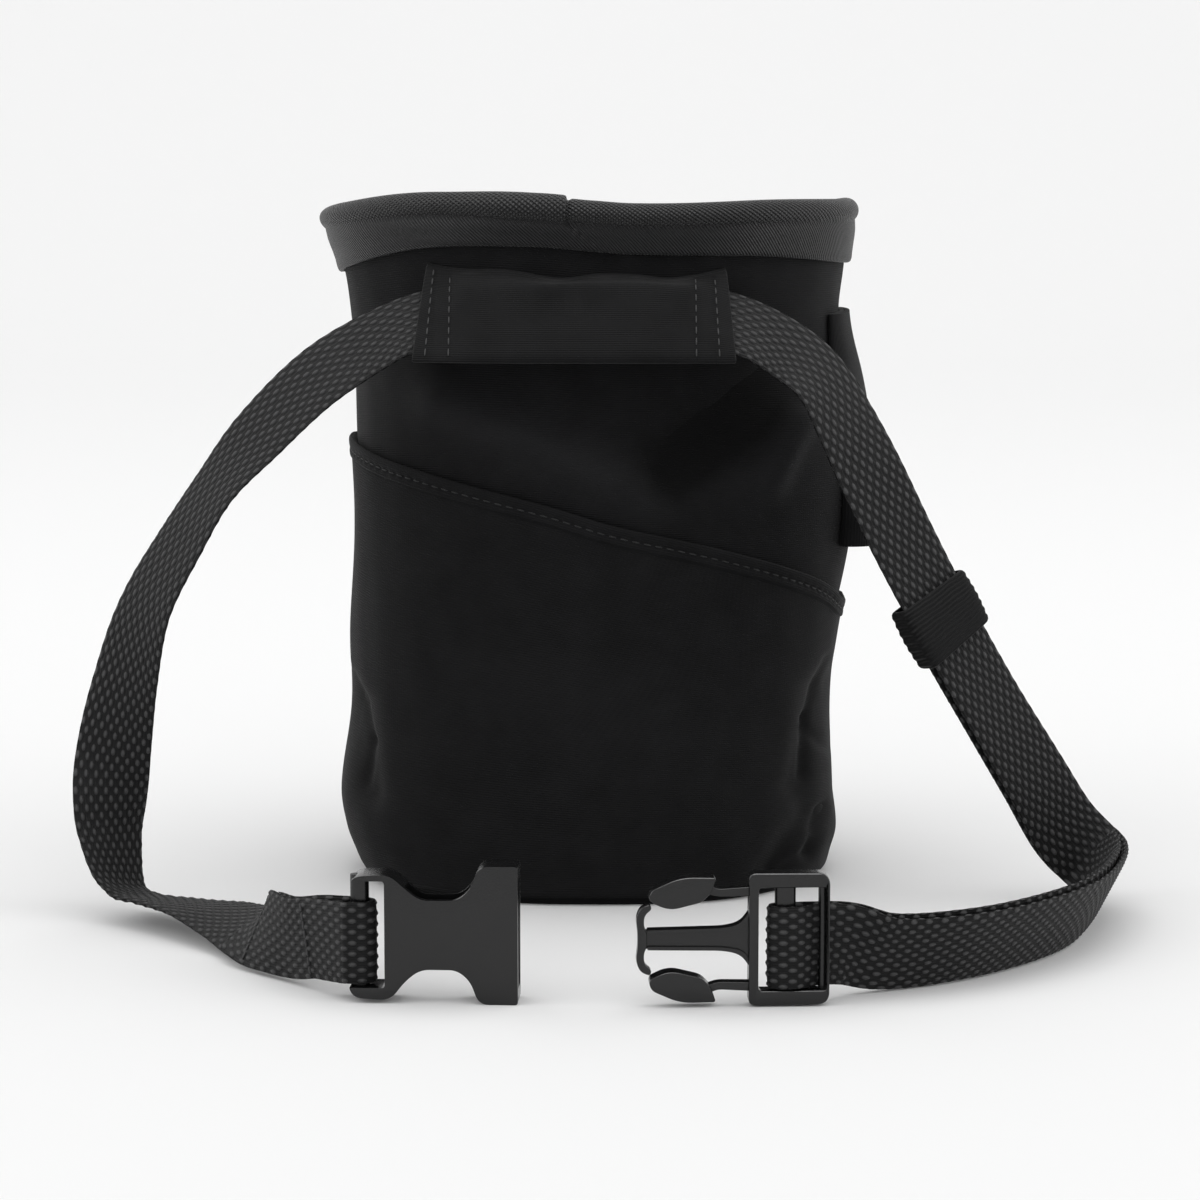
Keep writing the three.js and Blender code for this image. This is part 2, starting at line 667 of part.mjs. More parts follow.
function beltWebbing() {
  const stubFrom = FEMALE_BAR * 3;
  const stubPart = MAIN.filter(({ along }) => along > stubFrom && along < STUB_LENGTH);
  const stub = returnLayer(stubPart, WEB_PITCH);
  const tailFrom = MAIN_LENGTH - MIDDLE_BAR_AT - MIDDLE_BAR / 2 + OUTER_BAR;
  const tailPart = MAIN.filter(({ along }) => along > KEEPER_PLACE && along < tailFrom);
  const tail = returnLayer(tailPart, -WEB_PITCH);
  const path = [
    ...thinned(stub),
    besideBar(FEMALE_BAR_MIDDLE, -FEMALE_BAR * 0.8, FEMALE_TURN[1], -1),
    ...barFrames(FEMALE_BAR_MIDDLE, FEMALE_TURN, -90, 90, UP.clone().negate()),
    ...thinned(MAIN).slice(1, -1),
    ...barFrames(MALE_BAR_MIDDLE, MALE_TURN, 90, 270, UP),
    besideBar(MALE_BAR_MIDDLE, MIDDLE_BAR * 0.6, MALE_TURN[1] - WEB_PLAY / 2, 1),
    ...thinned(tail),
  ];
  const [w, t] = [WEB_WIDTH / 2, WEB_THICKNESS / 2];
  const section = [[-w, -t], [w, -t], [w, t], [-w, t]];
  const stations = path.map(({ centre, across, face }) => section.map(([a, b]) => (
    centre.clone().addScaledVector(across, a).addScaledVector(face, b))));
  return named('belt_webbing', closedBar(stations), WEBBING);
}

// Rectangle with cut corners, in the plane across the belt.
function keeperSection({ centre, across, face }, grow) {
  const w = WEB_WIDTH / 2 + WEB_PLAY + grow;
  const t = (WEB_THICKNESS + WEB_PITCH) / 2 + GAP + grow;
  const cut = 0.3 + grow * 0.6;
  const outline = [[-w, -t + cut], [-w + cut, -t], [w - cut, -t], [w, -t + cut],
    [w, t - cut], [w - cut, t], [-w + cut, t], [-w, t - cut]];
  const middle = centre.clone().addScaledVector(face, -WEB_PITCH / 2);
  return outline.map(([a, b]) => middle.clone().addScaledVector(across, a).addScaledVector(face, b));
}

function keeper() {
  const stations = [-0.5, -0.25, 0, 0.25, 0.5].map((share) => (
    frameAlong(KEEPER_PLACE + share * KEEPER_LENGTH)));
  const outer = stations.map((frame) => keeperSection(frame, KEEPER_WALL));
  const inner = stations.map((frame) => keeperSection(frame, 0));
  return named('keeper', openSleeve(outer, inner), CANVAS);
}

// Place of the belt's lower or upper edge in the sleeve at a place across.
function beltEdge(x, side) {
  const edge = ({ centre, across }) => centre.clone().addScaledVector(across, side * WEB_WIDTH / 2);
  return edge(MAIN.find((frame) => edge(frame).x >= x && frame.centre.z > BELT_RISE * 0.85));
}

// Loop of cloth round the belt, sewn to the wall along its top.
function beltSleeve() {
  const columns = 16;
  const outer = [];
  const inner = [];
  for (let i = 0; i <= columns; i += 1) {
    const share = i / columns;
    const x = SLEEVE_LEFT + share * (SLEEVE_RIGHT - SLEEVE_LEFT);
    const [lowEdge, topEdge] = [beltEdge(x, -1), beltEdge(x, 1)];
    const front = nearWallY(x, BELT_RISE) - lowEdge.y + WEB_THICKNESS * 0.6 + SLEEVE_PLAY + PLY;
    const top = SLEEVE_HEIGHT * lookUp(SLEEVE_TOP, share, 1);
    const [slant, span] = [topEdge.y - lowEdge.y - WEB_PLAY, topEdge.z - lowEdge.z];
    const lowest = lowEdge.z - SLEEVE_FOOT;
    const loop = (inset) => {
      const back = GAP + inset;
      const frontAt = (up) => front - inset - slant * THREE.MathUtils.clamp((up - lowest) / span, 0, 1);
      const high = top - inset * 1.6;
      const shoulder = Math.min(lowest + span * 1.02, high - 1);
      const corner = SLEEVE_CORNER - inset * 0.6;
      const section = [
        [back, high], [back, high * 0.55], [back, inset + corner * 2],
        [back + corner * 2, inset], [front - inset - corner, inset], [front - inset, inset + corner],
        [frontAt(lowest + span * 0.5), lowest + span * 0.5], [frontAt(shoulder), shoulder],
        [back + PLY * 3 - inset * 1.2, high],
      ];
      return section.map(([outwards, up]) => {
        const z = SLEEVE_FOOT + up;
        return new THREE.Vector3(x, nearWallY(x, z) - outwards, z);
      });
    };
    outer.push(loop(0));
    inner.push(loop(PLY));
  }
  return named('belt_sleeve', openSleeve(outer, inner), CANVAS);
}

// Flat tube of cloth on the side, standing off more at its foot.
function brushLoop() {
  const rows = 8;
  const outer = [];
  const inner = [];
  for (let i = 0; i <= rows; i += 1) {
    const share = i / rows;
    const z = BRUSH_FOOT + share * BRUSH_HEIGHT;
    const stand = THREE.MathUtils.lerp(BRUSH_STAND_LOW, BRUSH_STAND_HIGH, share ** 0.8);
    const degrees = THREE.MathUtils.radToDeg(BRUSH_WIDTH / 2 / BAG_HALF_DEPTH);
    const loop = (inset) => {
      const half = 1 - inset / (BRUSH_WIDTH / 2);
      const out = stand - inset;
      const back = GAP + inset;
      const section = [
        [-half, back], [-half * 0.6, back], [-half * 0.2, back], [half * 0.2, back],
        [half * 0.6, back], [half, back], [half, back + (out - back) * 0.45],
        [half * 0.72, back + (out - back) * 0.9], [half * 0.3, out], [-half * 0.3, out],
        [-half * 0.72, back + (out - back) * 0.9], [-half, back + (out - back) * 0.45],
      ];
      return section.map(([across, outwards]) => facetPoint(BRUSH_ANGLE + across * degrees, z, outwards));
    };
    outer.push(loop(0));
    inner.push(loop(PLY));
  }
  return named('brush_loop', openSleeve(outer, inner), CANVAS);
}

// Solids of the buckles. Along runs from the webbing bar, up is the height
// above the middle line, and the thickness is centred on the buckle's plane.
function toSolid(geometry) {
  const plain = geometry.index ? geometry.toNonIndexed() : geometry;
  const position = plain.getAttribute('position');
  const places = new Map();
  const vertices = [];
  const triangles = [];
  for (let i = 0; i < position.count; i += 1) {
    const p = [position.getX(i), position.getY(i), position.getZ(i)];
    const key = p.map((value) => Math.round(value * 1e4)).join();
    if (!places.has(key)) {
      places.set(key, vertices.length / 3);
      vertices.push(...p);
    }
    triangles.push(places.get(key));
  }
  return new wasm.Manifold(new wasm.Mesh({
    numProp: 3,
    vertProperties: new Float32Array(vertices),
    triVerts: new Uint32Array(triangles),
  }));
}

function fromSolid(solid) {
  const mesh = solid.getMesh();
  const geometry = new THREE.BufferGeometry();
  geometry.setAttribute('position', new THREE.BufferAttribute(new Float32Array(mesh.vertProperties), 3));
  geometry.setIndex([...mesh.triVerts]);
  geometry.computeVertexNormals();
  return geometry;
}

// Plate with rounded edges from an outline of [along, up] pairs.
function plate(outline, thickness, round) {
  const shape = new THREE.Shape(outline.map(([along, up]) => new THREE.Vector2(along, up)));
  const geometry = new THREE.ExtrudeGeometry(shape, {
    depth: thickness - 2 * round,
    bevelEnabled: round > 0,
    bevelThickness: round,
    bevelSize: round,
    bevelOffset: -round,
    bevelSegments: 1,
  });
  geometry.translate(0, 0, round - thickness / 2);
  geometry.rotateX(Math.PI / 2);
  return toSolid(geometry);
}

function block(alongFrom, alongTo, upFrom, upTo, thickness, out = 0) {
  const geometry = new THREE.BoxGeometry(alongTo - alongFrom, thickness, upTo - upFrom);
  geometry.translate((alongFrom + alongTo) / 2, out, (upFrom + upTo) / 2);
  return toSolid(geometry);
}

// Rounded bar across the opening for the webbing.
function roundBar(along, width, thickness, out) {
  const geometry = new THREE.CylinderGeometry(1, 1, SLOT_HEIGHT + 2 * BAR_GRIP, 12);
  geometry.rotateX(Math.PI / 2);
  geometry.scale(width / 2, thickness / 2, 1);
  geometry.translate(along + BAR_SETBACK, out, 0);
  return toSolid(geometry);
}

function mirrored(half) {
  return [...half, ...[...half].reverse().map(([along, up]) => [along, -up])];
}

// Turned about its bar and set upright on the surface.
function standing(name, solid, x, y, height, heading) {
  const geometry = fromSolid(solid);
  const mesh = named(name, geometry, PLASTIC);
  mesh.position.set(x, y, height / 2);
  mesh.rotation.z = THREE.MathUtils.degToRad(heading);
  return mesh;
}

function buckleFemale() {
  const [top, slot] = [BUCKLE_HEIGHT / 2, SLOT_HEIGHT / 2];
  const body = FEMALE_BAR + FEMALE_SLOT;
  const scoop = top * 0.51;
  const wing = FEMALE_LENGTH * 0.76;
  const outline = mirrored([
    [0, slot + 0.3], [0.5, top * 0.88], [2, top * 0.94], [body + 0.6, top * 0.935],
    [body + 2.6, top * 0.82], [body + 5.4, top * 0.63], [body + 8.6, scoop + 0.5],
    [body + 12, scoop], [wing - 4.2, scoop + 0.3], [wing - 2, top * 0.66],
    [wing - 0.7, top * 0.84], [wing + 0.3, top * 0.95], [wing + 1.8, top],
    [FEMALE_LENGTH - 1.2, top], [FEMALE_LENGTH, top - 1],
  ]);
  let solid = plate(outline, FEMALE_THICKNESS, 1.3);
  solid = solid.subtract(block(-1, body, -slot, slot, FEMALE_THICKNESS * 2));
  solid = solid.add(roundBar(FEMALE_BAR / 2, FEMALE_BAR, FEMALE_BAR_THICKNESS, 0));
  solid = solid.subtract(block(body + 4.5, FEMALE_LENGTH + 1, -CHANNEL_HEIGHT / 2, CHANNEL_HEIGHT / 2,
    CHANNEL_THICKNESS));
  return standing('buckle_female', solid, FEMALE_X, FEMALE_Y, BUCKLE_HEIGHT, FEMALE_HEADING);
}

function buckleMale() {
  const [top, slot] = [MALE_HEIGHT / 2, SLOT_HEIGHT / 2 - 0.5];
  const frame = mirrored([
    [0, top - 2.6], [1, top - 0.6], [2.8, top], [MALE_FRAME - 2, top - 0.3], [MALE_FRAME, top - 2.2],
  ]);
  let solid = plate(frame, MALE_THICKNESS, 0.9);
  solid = solid.subtract(block(-1, MALE_FRAME - CROSSBAR, -slot, slot, MALE_THICKNESS * 2));
  solid = solid.add(roundBar(OUTER_BAR / 2, OUTER_BAR, OUTER_BAR_THICKNESS, OUTER_BAR_FORWARD));
  solid = solid.add(roundBar(MIDDLE_BAR_AT + MIDDLE_BAR / 2, MIDDLE_BAR, MIDDLE_BAR_THICKNESS, 0));
  const arm = MALE_FRAME - 0.6;
  const prong = [
    [arm, top * 0.76], [arm + 8.5, top * 0.73], [PRONG_REACH - 14.6, top * 0.80],
    [PRONG_REACH - 14.8, top * 0.88], [PRONG_REACH - 8, top * 0.90], [PRONG_REACH - 3, top * 0.80],
    [PRONG_REACH, top * 0.62], [PRONG_REACH - 0.6, top * 0.50], [PRONG_REACH - 4, top * 0.47],
    [PRONG_REACH - 9, top * 0.50], [PRONG_REACH - 13, top * 0.58], [PRONG_REACH - 16.4, top * 0.63],
    [arm + 8, top * 0.63], [arm, top * 0.64],
  ];
  solid = solid.add(plate(prong, PRONG_THICKNESS, 0.5));
  solid = solid.add(plate(prong.map(([along, up]) => [along, -up]), PRONG_THICKNESS, 0.5));
  const head = top * 0.5;
  const stem = mirrored([
    [arm, 6.5], [arm + 1.6, 4], [arm + 4, 2.6], [STEM_REACH - 4.2, 2.2], [STEM_REACH - 2.8, 3.2],
    [STEM_REACH - 2.4, head - 1.8], [STEM_REACH - 4, head - 0.7], [STEM_REACH - 3.4, head + 0.6],
    [STEM_REACH - 1.2, head + 0.5], [STEM_REACH, head - 1],
  ]);
  solid = solid.add(plate(stem, STEM_THICKNESS, 0.25));
  return standing('buckle_male', solid, MALE_X, MALE_Y, MALE_HEIGHT, 180 + MALE_HEADING);
}

const chalkBag = new THREE.Group();
chalkBag.add(bagWall(), basePanel(), pocketPanel(), rimBinding(), beltSleeve(), brushLoop());
chalkBag.add(beltWebbing(), keeper(), buckleFemale(), buckleMale());

export default chalkBag;
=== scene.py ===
import math

import bmesh
import bpy
import numpy as np
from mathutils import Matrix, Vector


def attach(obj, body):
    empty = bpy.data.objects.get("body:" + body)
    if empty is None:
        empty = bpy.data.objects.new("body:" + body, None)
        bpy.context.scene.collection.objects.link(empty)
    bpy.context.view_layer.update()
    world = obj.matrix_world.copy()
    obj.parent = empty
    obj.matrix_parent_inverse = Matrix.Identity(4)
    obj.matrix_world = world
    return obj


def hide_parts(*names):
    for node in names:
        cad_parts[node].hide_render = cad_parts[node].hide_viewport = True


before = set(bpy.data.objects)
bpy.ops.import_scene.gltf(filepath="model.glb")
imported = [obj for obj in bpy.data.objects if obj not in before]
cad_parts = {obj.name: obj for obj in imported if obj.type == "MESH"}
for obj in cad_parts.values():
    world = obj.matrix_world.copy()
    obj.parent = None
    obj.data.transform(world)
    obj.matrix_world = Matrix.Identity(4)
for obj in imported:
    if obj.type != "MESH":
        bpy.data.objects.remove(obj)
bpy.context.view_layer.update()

# Sizes in millimetres. STUB_LENGTH, HEM_RIDGE, SLEEVE_TOP and the rows of LEFT_RUN near the floor
# differ from the solids'; all others are the same.
MM = 0.001
GAP = 0.3
WEB_PLAY = 0.5
BAG_HALF_WIDTH = 64
BAG_HALF_DEPTH = 54
BAG_HEIGHT = 178
WALL = 2
PLY = 1.2
BASE_THICKNESS = 2
HEM_WIDTH = 5
HEM_RIDGE = 0.7
RIM_ROLL = 6.6
RIM_SKIRT = 12.5
RIM_SKIRT_EXTRA = 4
RIM_LINING = 10
WEB_WIDTH = 19
WEB_THICKNESS = 1.8
WEB_PITCH = WEB_THICKNESS + GAP
BELT_SPREAD = 121
BELT_RISE = 150
BELT_REACH = 151
STUB_LENGTH = 49
SLEEVE_LEFT = -45
SLEEVE_RIGHT = 35
SLEEVE_FOOT = 139.2
SLEEVE_HEIGHT = 25.6
SLEEVE_CORNER = 1.6
SLEEVE_PLAY = 1.6
BRUSH_WIDTH = 24
BRUSH_HEIGHT = 60
BRUSH_FOOT = 88.5
BRUSH_ANGLE = -9
BRUSH_STAND_LOW = 8.8
BRUSH_STAND_HIGH = 2.9
KEEPER_LENGTH = 15.6
KEEPER_SHARE = 0.334
KEEPER_WALL = 1.1
BUCKLE_HEIGHT = 32
SLOT_HEIGHT = 24.8
FEMALE_LENGTH = 38.6
FEMALE_THICKNESS = 9
FEMALE_X = -55.4
FEMALE_Y = -150.5
FEMALE_BAR = 4.3
FEMALE_BAR_THICKNESS = 3
FEMALE_SLOT = 3.9
CHANNEL_THICKNESS = 5.4
CHANNEL_HEIGHT = 25
FEMALE_HEADING = -3
MALE_X = 53.6
MALE_Y = -155.5
MALE_HEIGHT = 31.3
MALE_THICKNESS = 5
MALE_FRAME = 18.4
OUTER_BAR = 2.2
OUTER_BAR_THICKNESS = 2.4
OUTER_BAR_FORWARD = 1
MIDDLE_BAR_AT = 7.6
MIDDLE_BAR = 4.8
MIDDLE_BAR_THICKNESS = 2.6
CROSSBAR = 2.2
PRONG_REACH = 41
STEM_REACH = 44
PRONG_THICKNESS = 4.3
STEM_THICKNESS = 3.2
MALE_HEADING = 3
WEB_AXIS = 13.7
SQUARENESS = 2.35

# Sizes of what only shows on the surface
WALE = 1.267                     # width of one yarn of the webbing
YARN_FLOAT = 4.05                # length of one yarn from dive to dive
KNOT_HALF_WIDTH = 0.58
KNOT_HALF_LENGTH = 1.0
WEAVE_DEPTH = 0.36
STITCH_PITCH = 3.0
STITCH_LENGTH = 2.0
STITCH_WIDTH = 0.36
TOPSTITCH_DROP = 2.8            # from the hem's edge
SEAM_ANGLE = 266.4              # where the ends of the rim tape overlap
SEAM_SLANT = 5                  # how far the lower end of that seam turns
SEAM_RISE = 0.7
RIM_BAND_WAY = 10.2             # way up the rim tape where its roll starts
FRAY_COUNT = 26
SLEEVE_SEAMS = (-40.9, -35.6, 25.4, 30.5)   # places across of the stitched lines
SLEEVE_FRONT = 60               # column of the sleeve's grid that runs along its front
SLEEVE_FRONT_SPAN = slice(44, 86)
BRUSH_ROWS = 110
BRUSH_AROUND = 72
BRUSH_AROUND_INSIDE = 48
KEEPER_AROUND = 96
YARN_SIDES = 5
ROD_SIDES = 24

BODY = [
    # height, left,  right, near,  far
    [0.000, 0.900, 0.925, 0.965, 0.900],
    [0.012, 0.945, 0.945, 0.982, 0.950],
    [0.034, 0.975, 0.962, 0.985, 0.980],
    [0.067, 1.008, 0.985, 0.995, 0.990],
    [0.124, 1.028, 0.968, 1.000, 0.995],
    [0.247, 0.984, 0.958, 1.005, 1.000],
    [0.371, 0.984, 0.988, 1.010, 1.005],
    [0.511, 0.962, 1.055, 1.010, 1.010],
    [0.657, 0.972, 1.058, 1.010, 1.005],
    [0.745, 0.978, 1.032, 1.012, 0.995],
    [0.831, 0.994, 1.000, 1.015, 0.980],
    [0.899, 1.020, 1.020, 1.025, 0.985],
    [0.966, 1.082, 1.042, 1.045, 0.990],
    [1.000, 1.086, 1.044, 1.046, 0.990],
]
RIM = [
    # angle, height
    [0, 0.997], [45, 0.980], [90, 0.966], [140, 0.970], [180, 0.982], [205, 0.996], [236, 1.014],
    [262, 1.010], [276, 1.000], [310, 1.003], [345, 0.999],
]
FOLDS = [
    # side, across, height, across, height, spread, depth
    [-1, 0.80, 0.755, 0.26, 0.625, 0.135, -0.062],
    [-1, 0.82, 0.690, 0.62, 0.600, 0.090, 0.036],
    [-1, -0.58, 0.715, 0.18, 0.590, 0.180, 0.040],
    [-1, -0.95, 0.265, -0.90, 0.145, 0.070, -0.045],
    [-1, 0.90, 0.290, 0.82, 0.160, 0.075, -0.042],
    [-1, 0.86, 0.105, 0.72, 0.040, 0.080, -0.050],
    [-1, -0.30, 0.300, 0.35, 0.230, 0.240, 0.022],
    [1, -0.60, 0.700, 0.10, 0.560, 0.200, -0.045],
    [1, 0.10, 0.480, 0.70, 0.360, 0.220, 0.035],
    [1, -0.70, 0.330, -0.10, 0.230, 0.200, 0.030],
    [1, 0.30, 0.760, 0.75, 0.640, 0.140, -0.040],
]
# Narrow creases that the solids leave out, in the same columns
CREASES = [
    # side, across, height, across, height, spread, depth
    [-1, -0.97, 0.300, -0.90, 0.215, 0.022, -0.016],
    [-1, -0.90, 0.215, -0.93, 0.150, 0.020, -0.014],
    [-1, 0.93, 0.330, 0.86, 0.250, 0.020, -0.016],
    [-1, 0.86, 0.250, 0.85, 0.165, 0.022, -0.018],
    [-1, 0.86, 0.235, 0.96, 0.180, 0.018, -0.012],
    [-1, 0.93, 0.105, 0.86, 0.050, 0.026, -0.030],
    [-1, 0.88, 0.075, 0.74, 0.040, 0.020, 0.012],
    [-1, 0.78, 0.745, 0.30, 0.625, 0.110, -0.065],
    [-1, 0.80, 0.690, 0.70, 0.600, 0.070, 0.045],
    [-1, -0.58, 0.720, 0.16, 0.600, 0.090, 0.045],
    [-1, 0.60, 0.700, 0.42, 0.640, 0.030, -0.010],
    [-1, -0.35, 0.690, 0.05, 0.610, 0.040, 0.008],
    [1, -0.40, 0.500, 0.20, 0.420, 0.030, -0.012],
    [1, 0.40, 0.250, 0.80, 0.150, 0.026, -0.014],
]
HEM = [
    # across, height
    [-1.10, 0.660], [-1.00, 0.652], [-0.82, 0.632], [-0.68, 0.620], [-0.18, 0.577], [0.05, 0.552],
    [0.34, 0.527], [0.56, 0.505], [0.78, 0.476], [0.92, 0.446], [1.03, 0.399], [1.12, 0.385],
]
POCKET_FROM = 174
POCKET_TO = 366
SLEEVE_TOP = [
    # along, height
    [0.00, 0.90], [0.14, 0.86], [0.30, 0.85], [0.46, 0.78], [0.58, 0.82], [0.70, 0.81],
    [0.80, 0.78], [1.00, 0.86],
]
LEFT_RUN = [
    # across, forward, height, edge x, edge y, edge z
    [-0.041, 0.410, 0.999, 0, 0.45, 0.89],
    [-0.215, 0.402, 0.998, 0, 0.5, 0.86],
    [-0.364, 0.367, 0.989, 0, 0.66, 0.75],
    [-0.463, 0.357, 0.953, -0.28, 0.68, 0.68],
    [-0.570, 0.378, 0.897, -0.42, 0.66, 0.62],
    [-0.686, 0.404, 0.807, -0.5, 0.7, 0.5],
    [-0.777, 0.424, 0.720, -0.46, 0.82, 0.32],
    [-0.847, 0.437, 0.630, -0.58, 0.77, 0.25],
    [-0.917, 0.437, 0.527, -0.68, 0.7, 0.2],
    [-0.967, 0.412, 0.393, -0.86, 0.47, 0.13],
    [-0.997, 0.400, 0.268, -0.98, 0.08, 0.12],
    [-1.005, 0.400, 0.196, -0.93, -0.36, 0.12],
    [-1.005, 0.403, 0.130, -0.74, -0.65, 0.16],
    [-0.980, 0.434, 0.056, -0.57, -0.757, 0.30],
    [-0.946, 0.456, 0.041, -0.61, -0.77, 0.19],
    [-0.879, 0.505, 0.042, -0.831, -0.546, 0.108],
    [-0.785, 0.583, 0.045, -0.95, -0.31, -0.039],
    [-0.708, 0.663, 0.042, -0.90, -0.34, -0.27],
    [-0.662, 0.738, 0.046, -0.78, -0.29, -0.55],
    [-0.625, 0.822, 0.064, -0.2, -0.2, -0.95],
    [-0.562, 0.898, 0.073, 0, 0, -1],
    [-0.500, 0.953, 0.088, 0, 0, -1],
]
RIGHT_RUN = [
    # across, forward, height, edge x, edge y, edge z
    [0.124, 0.410, 0.999, 0, 0.45, 0.89],
    [0.289, 0.394, 0.989, 0.05, 0.66, 0.75],
    [0.393, 0.378, 0.947, 0.3, 0.66, 0.68],
    [0.467, 0.391, 0.897, 0.5, 0.68, 0.5],
    [0.517, 0.404, 0.827, 0.68, 0.6, 0.4],
    [0.576, 0.414, 0.730, 0.79, 0.5, 0.37],
    [0.645, 0.414, 0.617, 0.78, 0.52, 0.37],
    [0.734, 0.404, 0.483, 0.74, 0.56, 0.38],
    [0.824, 0.377, 0.357, 0.72, 0.58, 0.4],
    [0.926, 0.338, 0.220, 0.72, 0.48, 0.48],
    [0.998, 0.308, 0.123, 0.68, 0.3, 0.66],
    [1.048, 0.315, 0.078, 0.46, 0.08, 0.88],
    [1.062, 0.384, 0.0680, 0.42, -0.08, 0.89],
    [1.020, 0.550, 0.0672, 0.42, -0.16, 0.89],
    [0.930, 0.719, 0.0672, 0.34, -0.26, 0.89],
    [0.727, 0.894, 0.0672, 0.24, -0.34, 0.90],
    [0.550, 0.965, 0.070, 0.12, -0.30, 0.93],
    [0.475, 0.987, 0.086, 0, -0.1, 1],
]


# Helpers for tables, curves and outlines
def unit(v):
    return v / np.maximum(np.linalg.norm(v, axis=-1, keepdims=True), 1e-9)


def smooth_step(value, low, high):
    t = np.clip((value - low) / (high - low), 0, 1)
    return t * t * (3 - 2 * t)


def way_along(points, axis=0):
    """Length passed along a line, or along the rows or columns of a grid."""
    steps = np.linalg.norm(np.diff(points, axis=axis), axis=-1)
    shape = list(steps.shape)
    shape[axis] = 1
    return np.concatenate([np.zeros(shape), np.cumsum(steps, axis=axis)], axis=axis)


def rows_at(at, way, rows):
    """Rows of three numbers, read at places along their way."""
    return np.stack([np.interp(at, way, rows[:, k]) for k in range(3)], -1)


def look_up(rows, place, column):
    """Smooth value of a table at places, with the slope eased between its rows."""
    table = np.asarray(rows, float)
    keys, values = table[:, 0], table[:, column]
    n = len(keys)
    before, after = np.maximum(np.arange(n) - 1, 0), np.minimum(np.arange(n) + 1, n - 1)
    slopes = (values[after] - values[before]) / (keys[after] - keys[before])
    place = np.clip(place, keys[0], keys[-1])
    i = np.clip(np.searchsorted(keys, place, side="left") - 1, 0, n - 2)
    span = keys[i + 1] - keys[i]
    t = (place - keys[i]) / span
    t2, t3 = t * t, t * t * t
    return ((2 * t3 - 3 * t2 + 1) * values[i] + (t3 - 2 * t2 + t) * span * slopes[i]
            + (3 * t2 - 2 * t3) * values[i + 1] + (t3 - t2) * span * slopes[i + 1])


def catmull(points, count):
    """Points at even steps of a centripetal curve through points."""
    p = np.asarray(points, float)
    p = np.vstack([2 * p[0] - p[1], p, 2 * p[-1] - p[-2]])
    place = np.linspace(0, len(p) - 3, count + 1)
    i = np.minimum(place.astype(int), len(p) - 4)
    w = (place - i)[:, None]
    p0, p1, p2, p3 = p[i], p[i + 1], p[i + 2], p[i + 3]
    d0, d1, d2 = [
        np.maximum(np.sum((b - a) ** 2, 1) ** 0.25, 1e-4)[:, None]
        for a, b in ((p0, p1), (p1, p2), (p2, p3))
    ]
    t1 = ((p1 - p0) / d0 - (p2 - p0) / (d0 + d1) + (p2 - p1) / d1) * d1
    t2 = ((p2 - p1) / d1 - (p3 - p1) / (d1 + d2) + (p3 - p2) / d2) * d1
    return (p1 + t1 * w + (3 * (p2 - p1) - 2 * t1 - t2) * w ** 2
            + (2 * (p1 - p2) + t1 + t2) * w ** 3)


def smooth_loop(points, count):
    """Points of a closed smooth curve. The last axis but one goes round the loop."""
    p = np.asarray(points, float)
    n = p.shape[-2]
    place = np.arange(count) * n / count
    i = place.astype(int)
    w = (place - i)[:, None]
    p0, p1, p2, p3 = [np.take(p, (i + k) % n, axis=-2) for k in (-1, 0, 1, 2)]
    return 0.5 * (2 * p1 + (p2 - p0) * w + (2 * p0 - 5 * p1 + 4 * p2 - p3) * w ** 2
                  + (3 * p1 - p0 - 3 * p2 + p3) * w ** 3)


def rim_height(angle):
    rows = [[a + turn, h] for turn in (-360, 0, 360) for a, h in RIM]
    return BAG_HEIGHT * look_up(rows, np.mod(angle, 360), 1)


def fold_depth(x, y, z, folds):
    """How far folds move the wall outwards."""
    depth = 0
    for side, x0, z0, x1, z1, spread, share in folds:
        ax, az = x0 * BAG_HALF_WIDTH, z0 * BAG_HEIGHT
        dx, dz = x1 * BAG_HALF_WIDTH - ax, z1 * BAG_HEIGHT - az
        t = np.clip(((x - ax) * dx + (z - az) * dz) / (dx * dx + dz * dz), 0, 1)
        away = np.hypot(x - ax - t * dx, z - az - t * dz) / (spread * BAG_HALF_WIDTH)
        facing = smooth_step(side * y / BAG_HALF_DEPTH, 0, 0.3)
        depth = depth + share * BAG_HALF_DEPTH * facing * np.exp(-away ** 2)
    return depth


def outline_point(angle, z, outwards):
    """Point of the plan outline at a height, without its folds."""
    angle, z, outwards = np.broadcast_arrays(angle, z, outwards)
    share = z / BAG_HEIGHT
    a = np.radians(angle)
    c, s = np.cos(a), np.sin(a)
    half_x = BAG_HALF_WIDTH * np.where(c < 0, look_up(BODY, share, 1), look_up(BODY, share, 2))
    half_y = BAG_HALF_DEPTH * np.where(s < 0, look_up(BODY, share, 3), look_up(BODY, share, 4))
    x = half_x * np.sign(c) * np.abs(c) ** (2 / SQUARENESS)
    y = half_y * np.sign(s) * np.abs(s) ** (2 / SQUARENESS)
    slope = SQUARENESS - 1
    nx = np.sign(x) * np.abs(x / half_x) ** slope / half_x
    ny = np.sign(y) * np.abs(y / half_y) ** slope / half_y
    n = np.hypot(nx, ny)
    return np.stack([x + nx / n * outwards, y + ny / n * outwards, z + 0 * x], -1)


def crumple(angle, z):
    """Slight unevenness of soft cloth, in millimetres."""
    a = np.radians(angle)
    return (0.22 * np.sin(5 * a + z / 19 + 1.3) * np.sin(z / 23 + 0.4)
            + 0.14 * np.sin(9 * a - z / 13) * np.sin(z / 31 + 2.1)
            + 0.08 * np.sin(17 * a + z / 7.5 + 0.7) * np.sin(11 * a - z / 17))


